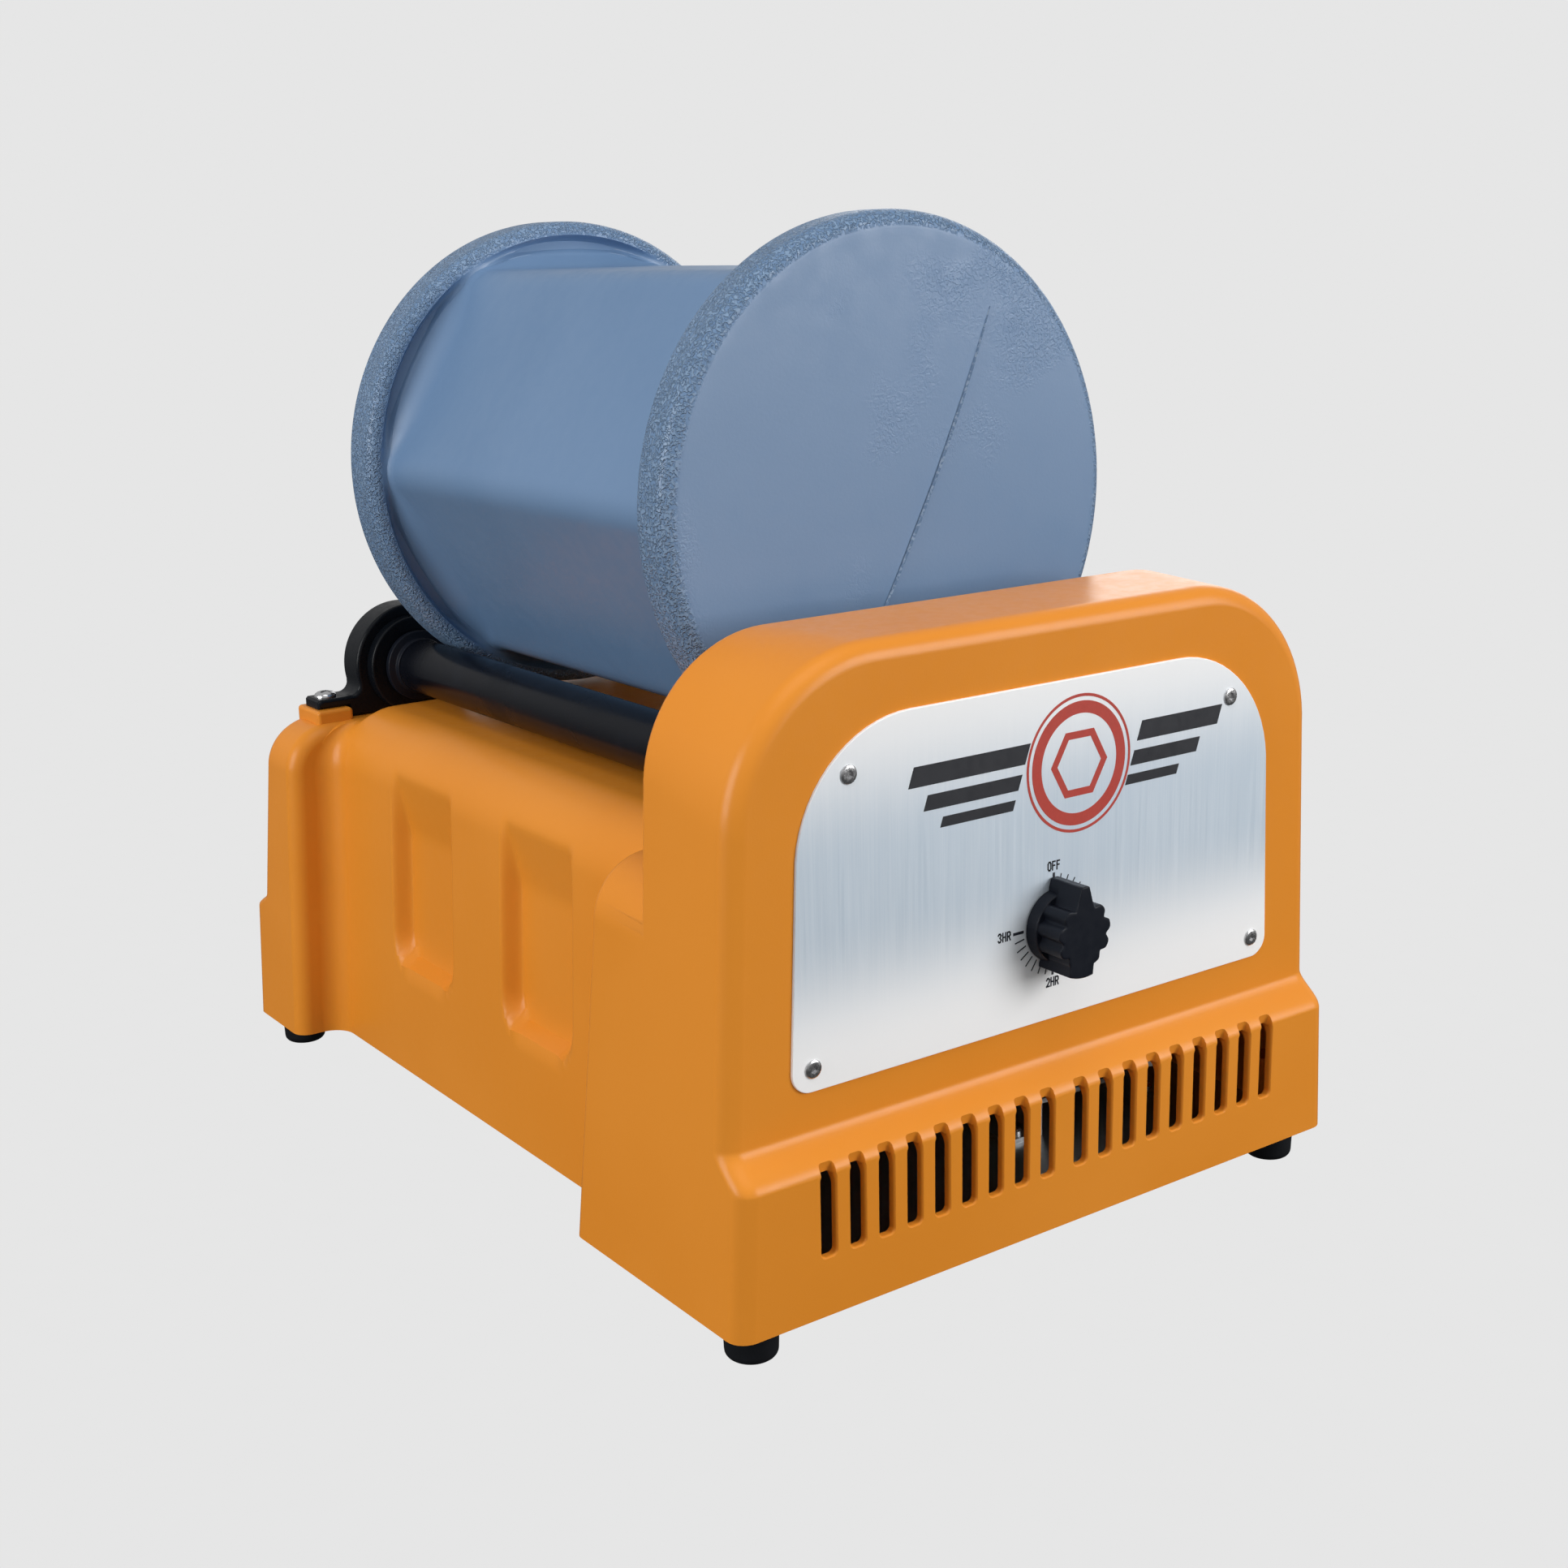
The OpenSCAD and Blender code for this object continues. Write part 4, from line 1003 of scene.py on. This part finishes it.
def rounded(profile, radius, steps=4):
    """A closed profile with its corners rounded."""
    points = []
    count = len(profile)
    for i, corner in enumerate(profile):
        here = Vector(corner)
        before = (Vector(profile[i - 1]) - here).normalized()
        after = (Vector(profile[(i + 1) % count]) - here).normalized()
        for step in range(steps + 1):
            t = step / steps
            points.append(tuple(here + before * radius * (1 - t) ** 2 + after * radius * t ** 2))
    return points


def rubber(name, colour, roughness):
    finish = Finish(name)
    dust = finish.ramp(finish.noise(60, 4), 0.45, 0.75)
    scuffs = finish.ramp(finish.noise(25, 3, 0.6, 0.5), 0.5, 0.7)
    return finish.set(base_color=finish.blend(dust * 0.5, colour, finish.paler(colour, 2.2)),
                      roughness=finish.ramp(scuffs, 0, 1, roughness, roughness + 0.1),
                      normal=finish.bump(finish.noise(1100, 3), 0.00005, 0.4), specular_ior_level=0.2)


sleeve_rubber = rubber("black_sleeve_rubber", (0.003, 0.004, 0.007, 1), 0.26)
for name in ("drive_roller", "idler_roller"):
    low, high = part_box(name + "_sleeve")
    x, z = (low.x + high.x) / 2, (low.z + high.z) / 2
    outer = (high.x - low.x) / 2
    inner = 4 * mm
    profile = [(inner, low.y), (outer, low.y), (outer, high.y), (inner, high.y)]
    sleeve = turned(x, z, rounded(profile, 1 * mm))
    finished(soften(sleeve, 40), name + "_rubber_sleeve", sleeve_rubber, "black_rubber", name,
             name + "_sleeve")
    low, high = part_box(name + "_collar")
    outer = (high.x - low.x) / 2
    profile = [(inner, low.y), (outer - 3.6 * mm, low.y), (outer - 3.4 * mm, low.y + 2.2 * mm),
               (outer, low.y + 3 * mm), (outer, high.y - 0.6 * mm), (inner, high.y)]
    collar = turned(x, z, rounded(profile, 0.5 * mm))
    finished(soften(collar, 40), name + "_end_collar", satin_black, "black_plastic", name, name + "_collar")


# ---- Rear bearing blocks ----
# Each is one black moulding: a round housing for the bush with a stepped boss in front, on a
# foot that spreads over two pads and takes a screw through each end.

block_radius, block_half, block_edge = 28.5 * mm, 49.2 * mm, 1.6 * mm


def block_outline(y, inset):
    """The block seen along the shaft: a ring that runs down into its feet in a small fillet."""
    foot_half = block_half - inset
    top = foot_top - inset
    reach = block_radius - inset
    fillet = 5 * mm
    angle_foot = math.asin((top + fillet - roller_z) / (reach + fillet))
    centre_x = (reach + fillet) * math.cos(angle_foot)
    right = [(33 * mm, low_deck_top + inset), (33 * mm, pad_top + inset), (foot_half, pad_top + inset),
             (foot_half, top - 1 * mm), (foot_half - 1 * mm, top)]
    for i in range(7):
        angle = -math.pi / 2 - (math.pi / 2 + angle_foot) * i / 6
        right.append((centre_x + fillet * math.cos(angle), top + fillet + fillet * math.sin(angle)))
    for i in range(33):
        angle = angle_foot + (math.pi / 2 - angle_foot) * i / 32
        right.append((reach * math.cos(angle), roller_z + reach * math.sin(angle)))
    left = [(-x, z) for x, z in reversed(right[:-1])]
    return [(x, y, z) for x, z in right + left]


def bearing_block():
    rings = [block_outline(block_front + depth, edge) for edge, depth in quarter(block_edge, 4)]
    rings += [block_outline(block_high.y - depth, edge) for edge, depth in reversed(quarter(block_edge, 4))]
    block = solid(lofted(rings))
    boss_front, boss_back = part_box("rear_bearing_right")[0].y, block_front + 2 * mm
    profile = [(8.6 * mm, boss_front), (23 * mm, boss_front), (23.5 * mm, boss_back), (8.6 * mm, boss_back)]
    combine(block, "UNION", turned(0, roller_z, rounded(profile, 1 * mm)))
    trim = bevelled_box((-60 * mm, boss_front - 5 * mm, base),
                        (60 * mm, block_front - 0.01 * mm, low_deck_top + 3 * mm), 0.1 * mm, 1)
    return combine(block, "DIFFERENCE",
                   rod(0, roller_z, boss_front - 2 * mm, block_high.y - 2 * mm, 8.05 * mm), trim)


block_black = black_plastic("black_bearing_plastic", 0.3, (0.003, 0.004, 0.006, 1))
for side, name in ((-1, "rear_bearing_left"), (1, "rear_bearing_right")):
    block = bearing_block()
    block.data.transform(Matrix.Translation((side * roller_x, 0, 0)))
    finished(soften(block, 36), name + "_block", block_black, "black_plastic", "base", name)


# ---- Feet ----
# Four turned rubber feet, each with a screw up its middle into a corner of the housing.

def foot_profile():
    height, edge = foot_high.z - foot_low.z, 2.9 * mm
    points = [(1.8 * mm, height), (1.8 * mm, 6 * mm), (4 * mm, 6 * mm), (4 * mm, 0)]
    for i in range(7):
        angle = -math.pi / 2 + math.pi / 2 * i / 6
        points.append((foot_radius - 3.2 * mm + edge * math.cos(angle), edge + edge * math.sin(angle)))
    return points + [(foot_radius - 0.1 * mm, height * 0.6), (foot_radius, height)]


foot = solid(spun([(r, 0, z) for r, z in foot_profile()], (0, 0, 0), upright, 56, closed=True))
foot_places = [Matrix.Translation((side * feet_x, y, foot_low.z)) for y in feet_y for side in (-1, 1)]
feet = repeat(foot, foot_places)
foot_rubber = rubber("foot_rubber", (0.006, 0.007, 0.009, 1), 0.5)
finished(soften(feet, 40), "moulded_feet", foot_rubber, "black_rubber", "base", "rubber_feet")


# ---- Lid ----
# It closes the drum's mouth at the rear. A ribbed black cover and a steel plate squeeze a
# rubber ring between them as the hand knob is tightened, and the ring swells against the neck.

lid_low, lid_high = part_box("lid_cover")
lid_face = lid_high.y
lid_radius = lid_high.x


def lid_cover():
    plug_front = lid_low.y
    cover_front = lid_face - 3.5 * mm
    profile = [(4.2 * mm, cover_front), (9 * mm, cover_front), (9 * mm, plug_front), (11 * mm, plug_front),
               (45 * mm, cover_front), (45 * mm, plug_front), (49 * mm, plug_front), (49 * mm, cover_front),
               (lid_radius, cover_front), (lid_radius, lid_face), (lid_radius - 3.5 * mm, lid_face),
               (lid_radius - 6 * mm, lid_face - 1 * mm), (20 * mm, lid_face - 1 * mm), (18 * mm, lid_face),
               (4.2 * mm, lid_face)]
    cover = turned(0, drum_axis.z, rounded(profile, 0.4 * mm, 2))
    for i in range(12):
        rib = bevelled_box((-0.9 * mm, lid_face - 1.6 * mm, 17 * mm),
                           (0.9 * mm, lid_face, lid_radius - 3 * mm), 0.35 * mm, 2)
        rib.data.transform(Matrix.Translation((0, 0, drum_axis.z))
                           @ Matrix.Rotation(2 * math.pi * i / 12, 4, "Y"))
        combine(cover, "UNION", rib)
    return cover


cover = lid_cover()
finished(soften(cover, 36), "ribbed_lid_cover", block_black, "black_plastic", "lid", "lid_cover")


def lobed_knob():
    low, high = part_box("lid_knob")

    def hub(y, radius):
        return clock_ring(0, drum_axis.z, y, radius, 200)

    def lobes(y, inset):
        return hub(y, lambda angle: 20.2 * mm + 4.3 * mm * math.cos(5 * angle) - inset)

    rings = [hub(low.y, 10.6 * mm), hub(low.y + 6 * mm, 11 * mm), lobes(low.y + 6.8 * mm, 3.4 * mm)]
    rings += [lobes(low.y + 7 * mm + depth, edge) for edge, depth in quarter(2 * mm, 4)]
    rings += [lobes(high.y - depth, edge) for edge, depth in reversed(quarter(4 * mm, 6))]
    rings += [lobes(high.y - 0.1 * mm, 7 * mm), hub(high.y - 0.6 * mm, 6 * mm)]
    return combine(solid(lofted(rings)), "DIFFERENCE",
                   rod(0, drum_axis.z, low.y - 2 * mm, low.y + 14 * mm, 4.06 * mm))


hand_knob = lobed_knob()
finished(soften(hand_knob, 36), "lobed_hand_knob", satin_black, "black_plastic", "clamp_knob", "lid_knob")


# ---- Cord gland ----
# A black moulded gland low on the rear face. The cord would pass through it.

profile = [(3.6 * mm, gland_low.y), (7.6 * mm, gland_low.y), (7.6 * mm, shell_high.y),
           (10.6 * mm, shell_high.y), (9.8 * mm, gland_high.y), (3.6 * mm, gland_high.y)]
gland = turned(gland_x, gland_z, rounded(profile, 0.5 * mm))
finished(soften(gland, 36), "moulded_cord_gland", satin_black, "black_plastic", "base", "cord_gland")


# ---- Works inside ----
# Bought-in and simple parts keep the shapes they have in the frame, and only get their finishes:
# the motor and its mount, belt, pulleys, shafts, bushes, inner bearings, timer and wiring block.

def steel(name, colour, roughness):
    finish = Finish(name)
    marks = finish.noise(500, 4, 0.65)
    return finish.set(base_color=finish.blend(marks, colour, finish.paler(colour, 1.2)), metallic=1.0,
                      roughness=finish.ramp(marks, 0.3, 0.7, roughness - 0.06, roughness + 0.08),
                      normal=finish.bump(marks, 0.00005, 0.4))


def laminations():
    finish = Finish("varnished_laminations")
    sheets = finish.add("ShaderNodeTexWave", {"wave_type": "BANDS", "bands_direction": "Y"},
                        {"Vector": finish.place, "Scale": 320})
    return finish.set(base_color=finish.blend(sheets, (0.05, 0.055, 0.06, 1), (0.16, 0.165, 0.17, 1)),
                      metallic=0.8, roughness=finish.mottle(90, 0.4, 0.55),
                      normal=finish.bump(sheets, 0.0002, 0.6))


def taped_coil():
    finish = Finish("amber_coil_tape")
    wraps = finish.add("ShaderNodeTexWave", {"wave_type": "BANDS", "bands_direction": "X"},
                       {"Vector": finish.place, "Scale": 60, "Distortion": 1.5})
    return finish.set(base_color=finish.blend(wraps, (0.42, 0.20, 0.03, 1), (0.55, 0.29, 0.06, 1)),
                      roughness=finish.ramp(wraps, 0, 1, 0.3, 0.42), normal=finish.bump(wraps, 0.0002, 0.4))


def white_moulding():
    finish = Finish("white_moulded_plastic")
    cloud = finish.noise(30, 3)
    return finish.set(base_color=finish.blend(cloud, (0.70, 0.69, 0.64, 1), (0.80, 0.79, 0.75, 1)),
                      roughness=finish.mottle(200, 0.4, 0.5),
                      normal=finish.bump(finish.noise(900, 2), 0.00006, 0.5))


def dress(material, *nodes):
    for node in nodes:
        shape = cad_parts[node]
        shape.data.materials.clear()
        shape.data.materials.append(material)


dress(steel("ground_steel_shafts", (0.42, 0.43, 0.45, 1), 0.25), "timer_shaft", "motor_shaft",
      "drive_roller_shaft", "idler_roller_shaft")
dress(steel("zinc_plated_sheet", (0.50, 0.51, 0.52, 1), 0.38), "bottom_plate", "motor_mount",
      "lid_pressure_plate")
dress(steel("die_cast_aluminium", (0.52, 0.53, 0.54, 1), 0.45), "motor_front_bracket", "motor_rear_bracket",
      "motor_pulley")
dress(steel("sintered_bronze", (0.42, 0.26, 0.10, 1), 0.42), "motor_bushes", "roller_bushes")
dress(plated, "bottom_plate_screws", "foot_screws", "timer_nut", "motor_bolts", "motor_mount_screws",
      "front_bearing_screws", "lid_stud", "lid_washer", "terminal_screws")
dress(laminations(), "motor_stator", "motor_rotor")
dress(taped_coil(), "motor_coil")
dress(white_moulding(), "motor_fan", "terminal_block")
dress(satin_black, "timer_case", "front_bearing_left", "front_bearing_right", "roller_pulley", "gland_nut")
dress(sleeve_rubber, "drive_belt", "lid_gasket")
